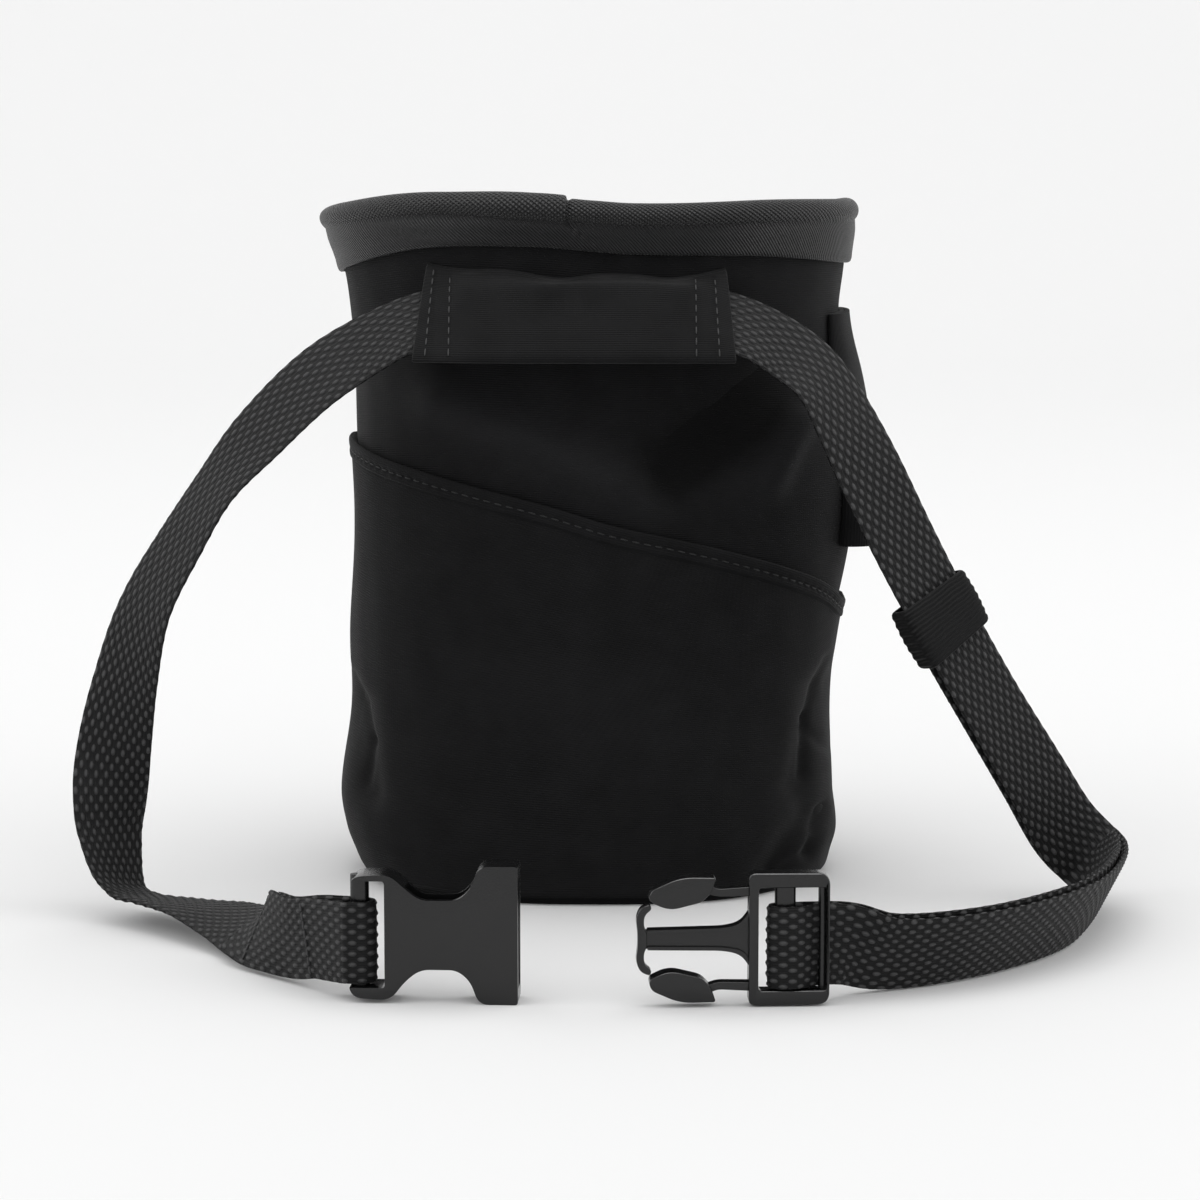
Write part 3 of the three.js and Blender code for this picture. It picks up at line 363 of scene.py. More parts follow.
def wall_point(angle, z, outwards, fine=True):
    """Point of the canvas wall: angle round the bag, height, distance outwards."""
    p = outline_point(angle, z, 0)
    depth = fold_depth(p[..., 0], p[..., 1], p[..., 2], FOLDS)
    if fine:
        depth = depth + fold_depth(p[..., 0], p[..., 1], p[..., 2], CREASES) + crumple(angle, z)
    return outline_point(angle, z, outwards + depth)


def near_wall_y(x, z):
    """Depth of the near wall at places across, found by halving the angle."""
    x, z = np.broadcast_arrays(np.asarray(x, float), np.asarray(z, float))
    low, high = np.full(x.shape, 180.0), np.full(x.shape, 360.0)
    for _ in range(22):
        middle = (low + high) / 2
        left = wall_point(middle, z, 0)[..., 0] < x
        low, high = np.where(left, middle, low), np.where(left, high, middle)
    return wall_point(low, z, 0)[..., 1]


def perimeter(angle):
    """Way round the bag to an angle, in millimetres."""
    turn = np.linspace(-10, 370, 761)
    ring = outline_point(turn, BAG_HEIGHT * 0.5, 0)
    return np.interp(angle, turn, way_along(ring))


# Meshes
def linked(name, data):
    """Object in the scene."""
    obj = bpy.data.objects.new(name, data)
    bpy.context.scene.collection.objects.link(obj)
    return obj


def add_mesh(name, points, faces, corner_uv, cover, replaces):
    """Mesh in millimetres. A cover is a material and its slot."""
    material, slot = cover
    mesh = bpy.data.meshes.new(name)
    places = (np.asarray(points).reshape(-1, 3) * MM).tolist()
    mesh.from_pydata(places, [], [list(map(int, f)) for f in faces])
    if corner_uv is not None:
        layer = mesh.uv_layers.new(name="UVMap")
        layer.data.foreach_set("uv", np.asarray(corner_uv, np.float32).ravel())
    mesh.polygons.foreach_set("use_smooth", [True] * len(mesh.polygons))
    mesh.materials.append(material)
    mesh.validate()
    obj = linked(name, mesh)
    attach(obj, "root")
    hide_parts(*replaces)
    return obj


def grid_faces(rows, columns, closed_rows=False, closed_columns=False):
    """Corners of the cells of a grid, and the cell of each corner in the unrolled grid."""
    i, j = np.meshgrid(np.arange(rows - (not closed_rows)),
                       np.arange(columns - (not closed_columns)), indexing="ij")
    i, j = i.ravel(), j.ravel()
    corners = [(i, j), (i + 1, j), (i + 1, j + 1), (i, j + 1)]
    faces = np.stack([(a % rows) * columns + b % columns for a, b in corners], 1)
    places = np.stack([np.stack(c, 1) for c in corners], 1)
    return faces, places


def surface(name, points, uv, cover, replaces, closed_rows=False, closed_columns=False, flipped=False):
    """Mesh of a grid of points. uv has one more row or column where the grid closes."""
    rows, columns = points.shape[:2]
    faces, places = grid_faces(rows, columns, closed_rows, closed_columns)
    corner_uv = uv[places[..., 0], places[..., 1]]
    if flipped:
        faces, corner_uv = faces[:, ::-1], corner_uv[:, ::-1]
    return add_mesh(name, points, faces, corner_uv, cover, replaces)


def paint_fold_shade(obj, points):
    """Depth of the folds at each point, stored for painted shade and light: the cloth's colour is made
    darker in the fold valleys and lighter on the ridges.
    """
    x, y, z = points.reshape(-1, 3).T
    layer = obj.data.attributes.new("painted_fold_shade", "FLOAT", "POINT")
    layer.data.foreach_set("value", fold_depth(x, y, z, FOLDS + CREASES).astype(np.float32))


def grid_uv(u, v):
    """UV in millimetres from the ways along the rows and the columns."""
    return np.stack(np.meshgrid(u, v, indexing="ij"), -1)


# Frames along the belt
class Band:
    """Middle line of a band with its way of travel, its way across and its face."""

    def __init__(self, centre, travel, across):
        self.centre = centre
        self.travel = unit(travel)
        self.across = unit(across - np.sum(across * self.travel, -1, keepdims=True) * self.travel)
        self.face = np.cross(self.travel, self.across)
        self.along = way_along(centre)

    def part(self, low, high):
        keep = (self.along > low) & (self.along < high)
        return Band(self.centre[keep], self.travel[keep], self.across[keep])

    def returned(self, distance):
        """The same layer moved along its face and run backwards."""
        centre = (self.centre + self.face * distance)[::-1]
        return Band(centre, -self.travel[::-1], self.across[::-1])

    def at(self, along):
        rows = self.centre, self.travel, self.across
        return Band(*[rows_at(along, self.along, row) for row in rows])

    def grid(self, across, outwards):
        """Points at ways across and outwards, in a row for each frame."""
        return (self.centre[:, None] + self.across[:, None] * across[..., None]
                + self.face[:, None] * outwards[..., None])


def joined(bands):
    return Band(*[np.vstack([getattr(b, name) for b in bands]) for name in ("centre", "travel", "across")])


UP = np.array([0.0, 0.0, 1.0])


def buckle_axis(x, y, heading, along):
    a = math.radians(heading)
    return np.array([x + along * math.cos(a), y + along * math.sin(a), WEB_AXIS])


FEMALE_BAR_MIDDLE = buckle_axis(FEMALE_X, FEMALE_Y, FEMALE_HEADING, FEMALE_BAR / 2)
MALE_BAR_MIDDLE = buckle_axis(MALE_X, MALE_Y, 180 + MALE_HEADING, MIDDLE_BAR_AT + MIDDLE_BAR / 2)


def turn_radii(bar, thickness):
    extra = GAP + WEB_THICKNESS / 2
    return bar / 2 + extra, thickness / 2 + extra


FEMALE_TURN = turn_radii(FEMALE_BAR, FEMALE_BAR_THICKNESS)
MALE_TURN = turn_radii(MIDDLE_BAR, MIDDLE_BAR_THICKNESS)


def main_band():
    """Main layer of the belt, from the female buckle round the bag to the male one."""
    rows = np.array(LEFT_RUN[::-1] + RIGHT_RUN, float)
    scale = np.array([BELT_SPREAD, -BELT_REACH, BELT_RISE])
    start = FEMALE_BAR_MIDDLE + [0, FEMALE_TURN[1], 0]
    end = MALE_BAR_MIDDLE + [0, MALE_TURN[1], 0]
    lead = end + [MIDDLE_BAR * 0.9, WEB_THICKNESS * 0.3, 0]
    places = np.vstack([start, rows[:, :3] * scale, lead, end])
    edges = np.vstack([-UP, rows[:, 3:], UP, UP])
    centre = catmull(places, len(places) * 48)
    return Band(centre, np.gradient(centre, axis=0), catmull(edges, len(places) * 48))


def bar_band(middle, radii, start, stop, edge):
    """Turn of the webbing round one end of a bar, between two turns in degrees."""
    a = np.radians(np.linspace(start, stop, 40))
    sense = np.sign(stop - start)
    centre = middle + np.stack([radii[0] * np.cos(a), radii[1] * np.sin(a), 0 * a], 1)
    travel = sense * np.stack([-radii[0] * np.sin(a), radii[1] * np.cos(a), 0 * a], 1)
    return Band(centre, travel, np.tile(edge, (40, 1)))


def beside_bar(middle, across, forward, sense):
    """Frame where the front layer leaves a bar."""
    centre = middle + [across, -forward, 0]
    return Band(centre[None], np.array([[1, 0.25 * sense, 0]]), sense * UP[None])


MAIN = main_band()
MAIN_LENGTH = MAIN.along[-1]
high_up = (MAIN.centre[:, 0] > RIGHT_RUN[0][0] * BELT_SPREAD) & (MAIN.centre[:, 2] > BELT_RISE * 0.9)
RIGHT_START = MAIN.along[np.argmax(high_up)]
KEEPER_PLACE = RIGHT_START + KEEPER_SHARE * (MAIN_LENGTH - RIGHT_START)


def belt_path():
    """The whole length of webbing, from the sewn stub to the end of the tail."""
    stub = MAIN.part(FEMALE_BAR * 3, STUB_LENGTH).returned(WEB_PITCH)
    tail_from = MAIN_LENGTH - MIDDLE_BAR_AT - MIDDLE_BAR / 2 + OUTER_BAR
    tail = MAIN.part(KEEPER_PLACE, tail_from).returned(-WEB_PITCH)
    return joined([
        stub,
        beside_bar(FEMALE_BAR_MIDDLE, -FEMALE_BAR * 0.8, FEMALE_TURN[1], -1),
        bar_band(FEMALE_BAR_MIDDLE, FEMALE_TURN, -90, 90, -UP),
        MAIN.part(0.5, MAIN_LENGTH - 0.5),
        bar_band(MALE_BAR_MIDDLE, MALE_TURN, 90, 270, UP),
        beside_bar(MALE_BAR_MIDDLE, MIDDLE_BAR * 0.6, MALE_TURN[1] - WEB_PLAY / 2, 1),
        tail,
    ])


# Materials
class Finish:
    """A principled material whose colour and relief are worked out from the surface."""

    def __init__(self, name, colour, roughness, **settings):
        self.material = bpy.data.materials.new(name)
        self.material.use_nodes = True
        self.nodes = self.material.node_tree.nodes
        self.links = self.material.node_tree.links
        self.shader = self.nodes["Principled BSDF"]
        self.shader.inputs["Base Color"].default_value = (*colour, 1)
        self.shader.inputs["Roughness"].default_value = roughness
        for key, value in settings.items():
            self.shader.inputs[key.replace("_", " ")].default_value = value
        coordinates = self.nodes.new("ShaderNodeTexCoord")
        self.place = coordinates.outputs["Object"]
        split = self.nodes.new("ShaderNodeSeparateXYZ")
        self.links.new(coordinates.outputs["UV"], split.inputs[0])
        self.u, self.v = split.outputs[0], split.outputs[1]

    def feed(self, node, index, value):
        if isinstance(value, (int, float, tuple)):
            node.inputs[index].default_value = value
        else:
            self.links.new(value, node.inputs[index])

    def math(self, operation, *values):
        node = self.nodes.new("ShaderNodeMath")
        node.operation = operation
        for index, value in enumerate(values):
            self.feed(node, index, value)
        return node.outputs[0]

    def times(self, value, factor):
        return self.math("MULTIPLY", value, factor)

    def scaled(self, value, factor, extra):
        """A value times a factor, and something added."""
        return self.math("MULTIPLY_ADD", value, factor, extra)

    def wave(self, value, pitch):
        """From 0 to 1 and back in each pitch."""
        turned = self.math("COSINE", self.times(value, 2 * math.pi / pitch))
        return self.scaled(turned, 0.5, 0.5)

    def noise(self, size, detail=3.0):
        """Cloudy value of about 0 to 1, with clouds of a size in millimetres."""
        node = self.nodes.new("ShaderNodeTexNoise")
        self.links.new(self.place, node.inputs["Vector"])
        node.inputs["Scale"].default_value = 1 / (size * MM)
        node.inputs["Detail"].default_value = detail
        return node.outputs["Fac"]

    def ramp(self, value, low, high, out_low, out_high):
        node = self.nodes.new("ShaderNodeMapRange")
        self.links.new(value, node.inputs[0])
        for index, number in enumerate((low, high, out_low, out_high), 1):
            node.inputs[index].default_value = number
        return node.outputs[0]

    def attribute(self, name):
        node = self.nodes.new("ShaderNodeAttribute")
        node.attribute_name = name
        return node.outputs["Fac"]

    def tint(self, value, dark, light):
        """Base colour between two greys."""
        node = self.nodes.new("ShaderNodeMix")
        node.data_type = "RGBA"
        self.links.new(value, node.inputs[0])
        node.inputs["A"].default_value = (*dark, 1)
        node.inputs["B"].default_value = (*light, 1)
        self.links.new(node.outputs["Result"], self.shader.inputs["Base Color"])

    def relief(self, height, depth):
        """Bump of a depth in millimetres."""
        node = self.nodes.new("ShaderNodeBump")
        node.inputs["Strength"].default_value = 1.0
        node.inputs["Distance"].default_value = depth * MM
        self.links.new(height, node.inputs["Height"])
        self.links.new(node.outputs["Normal"], self.shader.inputs["Normal"])


def canvas_finish(name, colour, rib):
    f = Finish(name, colour, 0.8, Sheen_Weight=0.05, Sheen_Roughness=0.4, Specular_IOR_Level=0.1)
    ribs = f.wave(f.v, rib)
    threads = f.wave(f.u, rib * 1.3)
    cloth = f.scaled(threads, 0.22, ribs)
    rough = f.scaled(f.noise(0.7, 4.0), 0.9, cloth)
    f.relief(rough, 0.07)
    cloudy = f.scaled(ribs, 0.25, f.noise(9, 5.0))
    shade = f.scaled(f.ramp(cloudy, 0.35, 0.95, 0.0, 1.0), 0.45, 0.2)
    # Painted shade and light: the colour is darker in the valleys of the folds and lighter on their ridges
    shade = f.scaled(f.attribute("painted_fold_shade"), 0.13, shade)
    dark = tuple(c * 0.4 for c in colour)
    light = tuple(c * 1.95 for c in colour)
    f.tint(f.math("MINIMUM", f.math("MAXIMUM", shade, 0.0), 1.0), dark, light)
    return f.material


def fleece_finish():
    f = Finish("lining", (0.006, 0.006, 0.0065), 0.95, Sheen_Weight=0.12, Specular_IOR_Level=0.1)
    f.relief(f.noise(0.8, 6.0), 0.25)
    return f.material


def twill_finish():
    """Coarse slanted beads over the roll, and fine ribs on the band below it."""
    f = Finish("tape", (0.008, 0.008, 0.0085), 0.42, Sheen_Weight=0.1, Sheen_Roughness=0.35,
               Specular_IOR_Level=0.19)
    roll = f.ramp(f.v, RIM_BAND_WAY - 0.4, RIM_BAND_WAY + 0.4, 0.0, 1.0)
    ribs = f.wave(f.scaled(f.v, 1.5, f.u), 1.6)
    beads = f.wave(f.scaled(f.v, -1.1, f.u), 1.25)
    coarse = f.math("ADD", f.times(ribs, beads), f.times(ribs, 0.35))
    fine = f.times(f.wave(f.scaled(f.v, 0.8, f.u), 0.95), 0.45)
    height = f.math("ADD", f.times(coarse, roll),
                    f.times(fine, f.math("SUBTRACT", 1.0, roll)))
    height = f.scaled(f.noise(0.4, 3.0), 0.25, height)
    f.relief(height, 0.5)
    # Painted light and shade: the roll is painted lighter than the band below it, as if lit from above,
    # and the tops of the beads and ribs are painted lighter than the grooves between them
    f.tint(f.scaled(roll, 0.15, f.times(height, 0.75)),
           (0.0018, 0.0018, 0.002), (0.020, 0.020, 0.021))
    return f.material


def webbing_finish():
    """Separate oval knots in staggered rows, worked out from the place on the band."""
    f = Finish("webbing", (0.018, 0.018, 0.019), 0.6, Sheen_Weight=0.06, Specular_IOR_Level=0.15)
    wale = f.times(f.v, 1 / WALE)
    index = f.math("FLOOR", wale)
    local = f.times(f.math("SUBTRACT", f.math("FRACT", wale), 0.5), WALE / KNOT_HALF_WIDTH)
    phase = f.math("FRACT", f.scaled(index, 0.5, f.times(f.u, 1 / YARN_FLOAT)))
    along = f.times(f.math("SUBTRACT", phase, 0.5), YARN_FLOAT / KNOT_HALF_LENGTH)
    away = f.math("ADD", f.times(local, local), f.times(along, along))
    knot = f.math("SQRT", f.math("MAXIMUM", f.math("SUBTRACT", 1.0, away), 0.0))
    weft = f.times(f.wave(f.v, WALE / 2), 0.12)
    fibre = f.times(f.wave(f.scaled(f.v, 0.35, f.u), 0.24), 0.06)
    height = f.math("ADD", f.math("MAXIMUM", knot, weft), fibre)
    f.relief(f.scaled(f.noise(0.3, 3.0), 0.1, height), 0.5)
    # Painted shade and light: the gaps between the knots are painted dark and the tops of the knots light
    f.tint(f.ramp(knot, 0.1, 0.95, 0.0, 1.0), (0.0042, 0.0042, 0.0045), (0.052, 0.052, 0.053))
    return f.material


def elastic_finish():
    f = Finish("elastic", (0.0035, 0.0035, 0.0037), 0.65, Sheen_Weight=0.04, Specular_IOR_Level=0.1)
    wobble = f.scaled(f.noise(6, 2.0), 1.2, f.u)
    f.relief(f.scaled(f.noise(0.3, 3.0), 0.35, f.wave(wobble, 1.1)), 0.2)
    return f.material


def thread_finish(name, colour):
    f = Finish(name, colour, 0.6, Sheen_Weight=0.1, Specular_IOR_Level=0.2)
    f.relief(f.noise(0.25, 2.0), 0.05)
    return f.material


def plastic_finish():
    f = Finish("plastic", (0.0045, 0.0045, 0.0048), 0.21, Specular_IOR_Level=0.45)
    pebble = f.scaled(f.noise(0.16, 2.0), 0.5, f.noise(0.45, 3.0))
    f.relief(pebble, 0.03)
    return f.material


# A material and its slot for each cover
CANVAS = (canvas_finish("canvas", (0.0052, 0.0052, 0.0056), 0.57), "canvas")
LINING = (fleece_finish(), "lining")
TWILL = (twill_finish(), "tape")
WEBBING = (webbing_finish(), "webbing")
ELASTIC = (elastic_finish(), "elastic")
THREAD = (thread_finish("thread", (0.035, 0.035, 0.036)), "thread")
HEM_THREAD = (thread_finish("hem_thread", (0.014, 0.014, 0.0145)), "thread")
PLASTIC = (plastic_finish(), "plastic")


# The bag
def bag_cloth():
    angles = np.arange(360)[:, None] * 1.0
    top = rim_height(angles) - RIM_ROLL - GAP
    shares = np.concatenate([np.linspace(0, 0.06, 14)[:-1], np.linspace(0.06, 1, 150)])
    outside = wall_point(angles, shares * top, 0)
    inside = wall_point(angles, np.linspace(1, 0, 24) * top, -WALL * 0.75, fine=False)
    points = np.concatenate([outside, inside], 1)
    turn = np.append(angles[:, 0], 360)
    heights = np.concatenate([shares, 1 + np.linspace(0, 1, 24)])
    uv = grid_uv(perimeter(turn), np.append(heights, 0) * BAG_HEIGHT)
    paint_fold_shade(surface("bag_cloth", points, uv, CANVAS, ["bag_wall"], True, True), points)


def bag_lining():
    """Soft cloth inside the bag, down the wall and over the floor."""
    angles = np.arange(240)[:, None] * 1.5
    top = rim_height(angles) - RIM_ROLL - GAP
    down = np.linspace(0.985, 0.022, 90)
    wall = wall_point(angles, down * top, -WALL)
    wave = 0.35 * np.sin(np.radians(angles) * 11 + down * 5) * np.sin(down * 3.1)
    wall[..., :2] -= unit(wall[..., :2]) * np.abs(wave)[..., None]
    floor = wall[:, -1:] * np.linspace(0.97, 0, 24)[None, :, None]
    floor[..., 2] = BASE_THICKNESS + 0.6 + 0.25 * np.sin(floor[..., 0] / 9) * np.sin(floor[..., 1] / 11)
    points = np.concatenate([wall, floor], 1)
    turn = np.append(angles[:, 0], 360)
    uv = grid_uv(perimeter(turn), np.linspace(0, 230, points.shape[1]))
    surface("bag_lining", points, uv, LINING, ["bag_wall"], True, False, flipped=True)


def base_cloth():
    angles = np.arange(180)[:, None] * 2.0
    edge = wall_point(angles[:, 0], 0.0, -WALL - GAP, fine=False)[:, None]
    spokes = np.linspace(0.02, 1, 16)
    rings = np.concatenate([spokes, spokes[::-1]])[None, :, None]
    points = edge * rings
    points[..., 2] = np.concatenate([np.zeros(16), np.full(16, BASE_THICKNESS)])
    uv = np.pad(points[..., :2], ((0, 1), (0, 1), (0, 0)), mode="wrap")
    surface("base_cloth", points, uv, CANVAS, ["base_panel"], True, True)


def hem_height(angle):
    z = np.full(np.shape(angle), HEM[0][1] * BAG_HEIGHT)
    for _ in range(4):
        z = look_up(HEM, wall_point(angle, z, 0)[..., 0] / BAG_HALF_WIDTH, 1) * BAG_HEIGHT
    return z


def hem_pucker(angle):
    """Shallow dips of the hem between its stitches."""
    return 0.5 + 0.5 * np.cos(2 * np.pi * perimeter(angle) / STITCH_PITCH)


def pocket_cloth():
    angles = np.linspace(POCKET_FROM, POCKET_TO, 400)[:, None]
    top = hem_height(angles)
    foot = top - HEM_WIDTH
    low = BASE_THICKNESS * 1.1
    ends = (smooth_step(angles, POCKET_FROM, POCKET_FROM + 3)
            * smooth_step(-angles, -POCKET_TO, 3 - POCKET_TO))
    body_up = low + (foot - low) * np.linspace(0, 1, 86)[None]
    lean = smooth_step(body_up, foot - 14, foot)
    body_out = GAP + PLY + 0.15 * lean + 0 * body_up
    # Section of the folded hem: share of its width, outwards, depth of the puckers
    profile = np.array([
        [0.02, 0.20, 0.0], [0.05, 0.75, 0.0], [0.10, 0.95, 0.0], [0.2, 1.0, 0.15], [0.3, 0.97, 0.5],
        [0.38, 0.85, 1.0], [0.44, 0.76, 1.0], [0.5, 0.85, 1.0], [0.58, 0.99, 0.5], [0.68, 1.04, 0.1],
        [0.8, 1.05, 0.0], [0.9, 0.95, 0.0], [0.97, 0.65, 0.0], [1.0, 0.25, 0.0], [0.99, -0.1, 0.0],
    ])
    hem_up = foot + HEM_WIDTH * profile[None, :, 0]
    hem_out = GAP + PLY + HEM_RIDGE * profile[None, :, 1] - 0.22 * profile[None, :, 2] * hem_pucker(angles)
    back_up = low + (top - 1 - low) * np.linspace(1, 0, 12)[None]
    back_out = GAP * 0.6 + 0 * back_up
    up = np.concatenate([body_up, hem_up, back_up], 1)
    out = np.concatenate([body_out, hem_out, back_out], 1) * ends + 0.02
    points = wall_point(angles, up, out)
    uv = grid_uv(perimeter(angles[:, 0]), np.append(up[200], up[200, 0]))
    paint_fold_shade(surface("pocket_cloth", points, uv, CANVAS, ["pocket_panel"], False, True), points)


def seam_step(angle, drop):
    """How much the overlapping end of the rim tape stands up, in millimetres."""
    below = np.clip((drop - RIM_ROLL - 0.5) / 4, 0, 1)
    seam = SEAM_ANGLE + SEAM_SLANT * below
    raised = smooth_step(angle, SEAM_ANGLE - 26, SEAM_ANGLE - 8) * (angle < seam) * (1 - below)
    groove = np.exp(-((angle - seam - 0.2) / 0.4) ** 2) * (1 - below ** 2)
    return SEAM_RISE * raised - 0.5 * groove


def rim_tape():
    turn = np.concatenate([np.linspace(0, SEAM_ANGLE - 2, 460, endpoint=False),
                           np.linspace(SEAM_ANGLE - 2, SEAM_ANGLE + 8, 70, endpoint=False),
                           np.linspace(SEAM_ANGLE + 8, 360, 160, endpoint=False)])
    angles = turn[:, None]
    top = rim_height(angles)
    skirt = RIM_SKIRT + RIM_SKIRT_EXTRA * np.cos(np.radians(angles)) ** 2
    roll = RIM_ROLL / 2
    over = np.radians(np.linspace(-42, 222, 34))[None]
    grow = seam_step(angles, 0)
    out = -WALL / 2 + (roll + grow) * np.cos(over)
    drop = roll - (roll + grow) * np.sin(over)
    low = skirt - RIM_ROLL
    # Outer band below the roll: share of its height, outwards
    band = np.array([[1.0, 0.1], [1.02, 0.9], [0.99, 1.35], [0.9, 1.55], [0.7, 1.5], [0.5, 1.5],
                     [0.32, 1.55], [0.16, 1.5], [0.04, 1.35]])
    band_drop = RIM_ROLL + low * band[None, :, 0]
    band_out = GAP + band[None, :, 1] + seam_step(angles, band_drop) * 0.8
    inner = np.array([[0.05, 1.2], [0.3, 1.35], [0.7, 1.4], [0.97, 1.35], [1.02, 0.8], [0.98, 0.1]])
    inner_out = -WALL - GAP - inner[None, :, 1] + 0 * angles
    inner_drop = RIM_ROLL + (RIM_LINING - RIM_ROLL + 2) * inner[None, :, 0] + 0 * angles
    outs = np.concatenate([band_out, out, inner_out], 1)
    drops = np.concatenate([band_drop, drop, inner_drop], 1)
    points = wall_point(angles, top - drops, outs, fine=False)
    uv = grid_uv(perimeter(np.append(turn, 360)) * 1.1, way_along(points, 1).mean(0))
    surface("rim_tape", points, uv, TWILL, ["rim_binding"], True, False, flipped=True)


def belt_edge(x, side):
    """Lower or upper edge of the belt in its sleeve at places across."""
    edge = MAIN.centre + MAIN.across * side * WEB_WIDTH / 2
    near = MAIN.centre[:, 2] > BELT_RISE * 0.85
    order = np.argsort(edge[near, 0])
    return [np.interp(x, edge[near, 0][order], edge[near, k][order]) for k in (1, 2)]


def sleeve_sections(inset, shares):
    """Section of the belt sleeve at shares of its width: outwards and up from its foot."""
    x = SLEEVE_LEFT + shares * (SLEEVE_RIGHT - SLEEVE_LEFT)
    (low_y, low_z), (top_y, top_z) = belt_edge(x, -1), belt_edge(x, 1)
    front = near_wall_y(x, BELT_RISE) - low_y + WEB_THICKNESS * 0.6 + SLEEVE_PLAY + PLY
    top = SLEEVE_HEIGHT * look_up(SLEEVE_TOP, shares, 1)
    slant, span = top_y - low_y, top_z - low_z
    lowest = low_z - SLEEVE_FOOT
    high = top - inset * 1.6
    shoulder = np.minimum(lowest + span * 0.98, high - 1)
    corner = SLEEVE_CORNER - inset * 0.6
    back = GAP + inset + 0 * x

    def front_at(up):
        return front - inset - slant * np.clip((up - lowest) / span, 0, 1)

    sag = 0.5 * np.sin(shares * 2 * np.pi * 1.5 + 0.6)
    third, half, most = lowest + span * 0.25, lowest + span * 0.5, lowest + span * 0.75
    rows = [
        (back, high), (back, high * 0.7), (back, high * 0.4), (back, inset + corner * 2),
        (back + corner * 1.6, inset + 0.1 + 0 * x), (front - inset - corner * 1.4, inset + 0 * x),
        (front - inset - 0.2, inset + corner * 0.9), (front_at(third) + 0.2, third),
        (front_at(half) + 0.25 + sag * 0.4, half), (front_at(most) + 0.3 + sag * 0.5, most),
        (front_at(shoulder) + 0.2, shoulder),
        (back + (front_at(shoulder) - back) * 0.55 + PLY * 0.6, shoulder * 0.45 + high * 0.55),
        (back + PLY * 1.3 - inset * 1.1, high + 0 * x),
    ]
    return x, np.stack([np.stack(np.broadcast_arrays(a, b), -1) for a, b in rows], -2)


def sleeve_cloth():
    """Sleeve as one closed surface, with soft folded ends."""
    columns, around = 190, 96
    shares = np.linspace(0, 1, columns)
    rings = []
    for inset in (0.0, PLY):
        x, sections = sleeve_sections(inset, shares)
        ring = smooth_loop(sections, around)
        out, up = ring[..., 0], ring[..., 1]
        free = smooth_step(up, SLEEVE_HEIGHT * 0.4, SLEEVE_HEIGHT * 0.85) * smooth_step(out, 1.6, 4)
        tucks = (0.55 * np.sin(x / 2.9 + 0.8 * np.sin(x / 11)) + 0.4 * np.sin(x / 1.7 + 1.1))
        hems = sum(np.exp(-((x - place) / 0.9) ** 2) for place in SLEEVE_SEAMS)
        outside = inset == 0
        out = out + outside * (tucks[:, None] * free * 1.2 - 0.4 * hems[:, None] * (out > 3))
        left, right = np.clip(1 - shares[:, None] / 0.1, 0, 1), np.clip(shares[:, None] * 10 - 9, 0, 1)
        place_x = x[:, None] + left * (0.6 + 0.13 * up) - right * (0.3 + 0.09 * up)
        z = SLEEVE_FOOT + up
        rings.append(np.stack([place_x, near_wall_y(place_x, z) - out, z], -1))
    outer, inner = rings
    ends = []
    for row, way in ((-1, 1), (0, -1)):
        for share, reach in ((0.8, 0.3), (0.35, 0.45)):
            middle_ring = outer[row] * share + inner[row] * (1 - share)
            ends.append((middle_ring + [reach * way, 0, 0])[None])
    points = np.concatenate([outer, ends[0], ends[1], inner[::-1], ends[3], ends[2]], 0)
    v = way_along(outer, 1)[columns // 2]
    u = way_along(points[:, SLEEVE_FRONT])
    uv = grid_uv(np.append(u, u[-1] + 0.5), np.append(v, v[-1] + 1))
    surface("sleeve_cloth", points, uv, CANVAS, ["belt_sleeve"], True, True)
    return outer


def brush_sections(inset, shares):
    stand = BRUSH_STAND_LOW + (BRUSH_STAND_HIGH - BRUSH_STAND_LOW) * shares ** 0.8
    half = (1 - inset / (BRUSH_WIDTH / 2)) * math.degrees(BRUSH_WIDTH / 2 / BAG_HALF_DEPTH)
    back, out = GAP + inset, stand - inset
    rows = [
        (-half, back), (-half * 0.5, back), (half * 0.5, back), (half, back),
        (half * 1.04, back + (out - back) * 0.45), (half * 0.78, back + (out - back) * 0.88),
        (half * 0.3, out), (-half * 0.3, out), (-half * 0.78, back + (out - back) * 0.88),
        (-half * 1.04, back + (out - back) * 0.45),
    ]
    return np.stack([np.stack(np.broadcast_arrays(a, b, shares)[:2], -1) for a, b in rows], -2)


def brush_cloth():
    shares = np.linspace(0, 1, BRUSH_ROWS)
    up = (BRUSH_FOOT + shares * BRUSH_HEIGHT)[:, None]
    rings = []
    for inset, count in ((0.0, BRUSH_AROUND), (PLY, BRUSH_AROUND_INSIDE)):
        ring = smooth_loop(brush_sections(inset, shares), count)
        creases = 0.3 * np.sin(up / 4.1 + ring[..., 0] / 4) * smooth_step(ring[..., 1], 2, 6)
        rings.append(wall_point(BRUSH_ANGLE + ring[..., 0], up, ring[..., 1] + creases))
    outer, inner = rings
    columns = np.append(way_along(outer, 1)[50], 60)
    for name, ring, flipped in (("brush_cloth", outer, True), ("brush_inside", inner, False)):
        count = ring.shape[1]
        around = np.interp(np.linspace(0, 1, count + 1), np.linspace(0, 1, BRUSH_AROUND + 1), columns)
        uv = grid_uv(shares * BRUSH_HEIGHT, around)
        surface(name, ring, uv, CANVAS, ["brush_loop"], False, True, flipped)
    same_place = np.arange(BRUSH_AROUND) * BRUSH_AROUND_INSIDE // BRUSH_AROUND
    for side, row in (("foot", 0), ("top", -1)):
        edge = np.stack([outer[row], inner[row][same_place]], 0)
        uv = grid_uv([0, 1.2], np.arange(BRUSH_AROUND + 1) * 0.6)
        surface(f"brush_edge_{side}", edge, uv, CANVAS, ["brush_loop"], False, True)


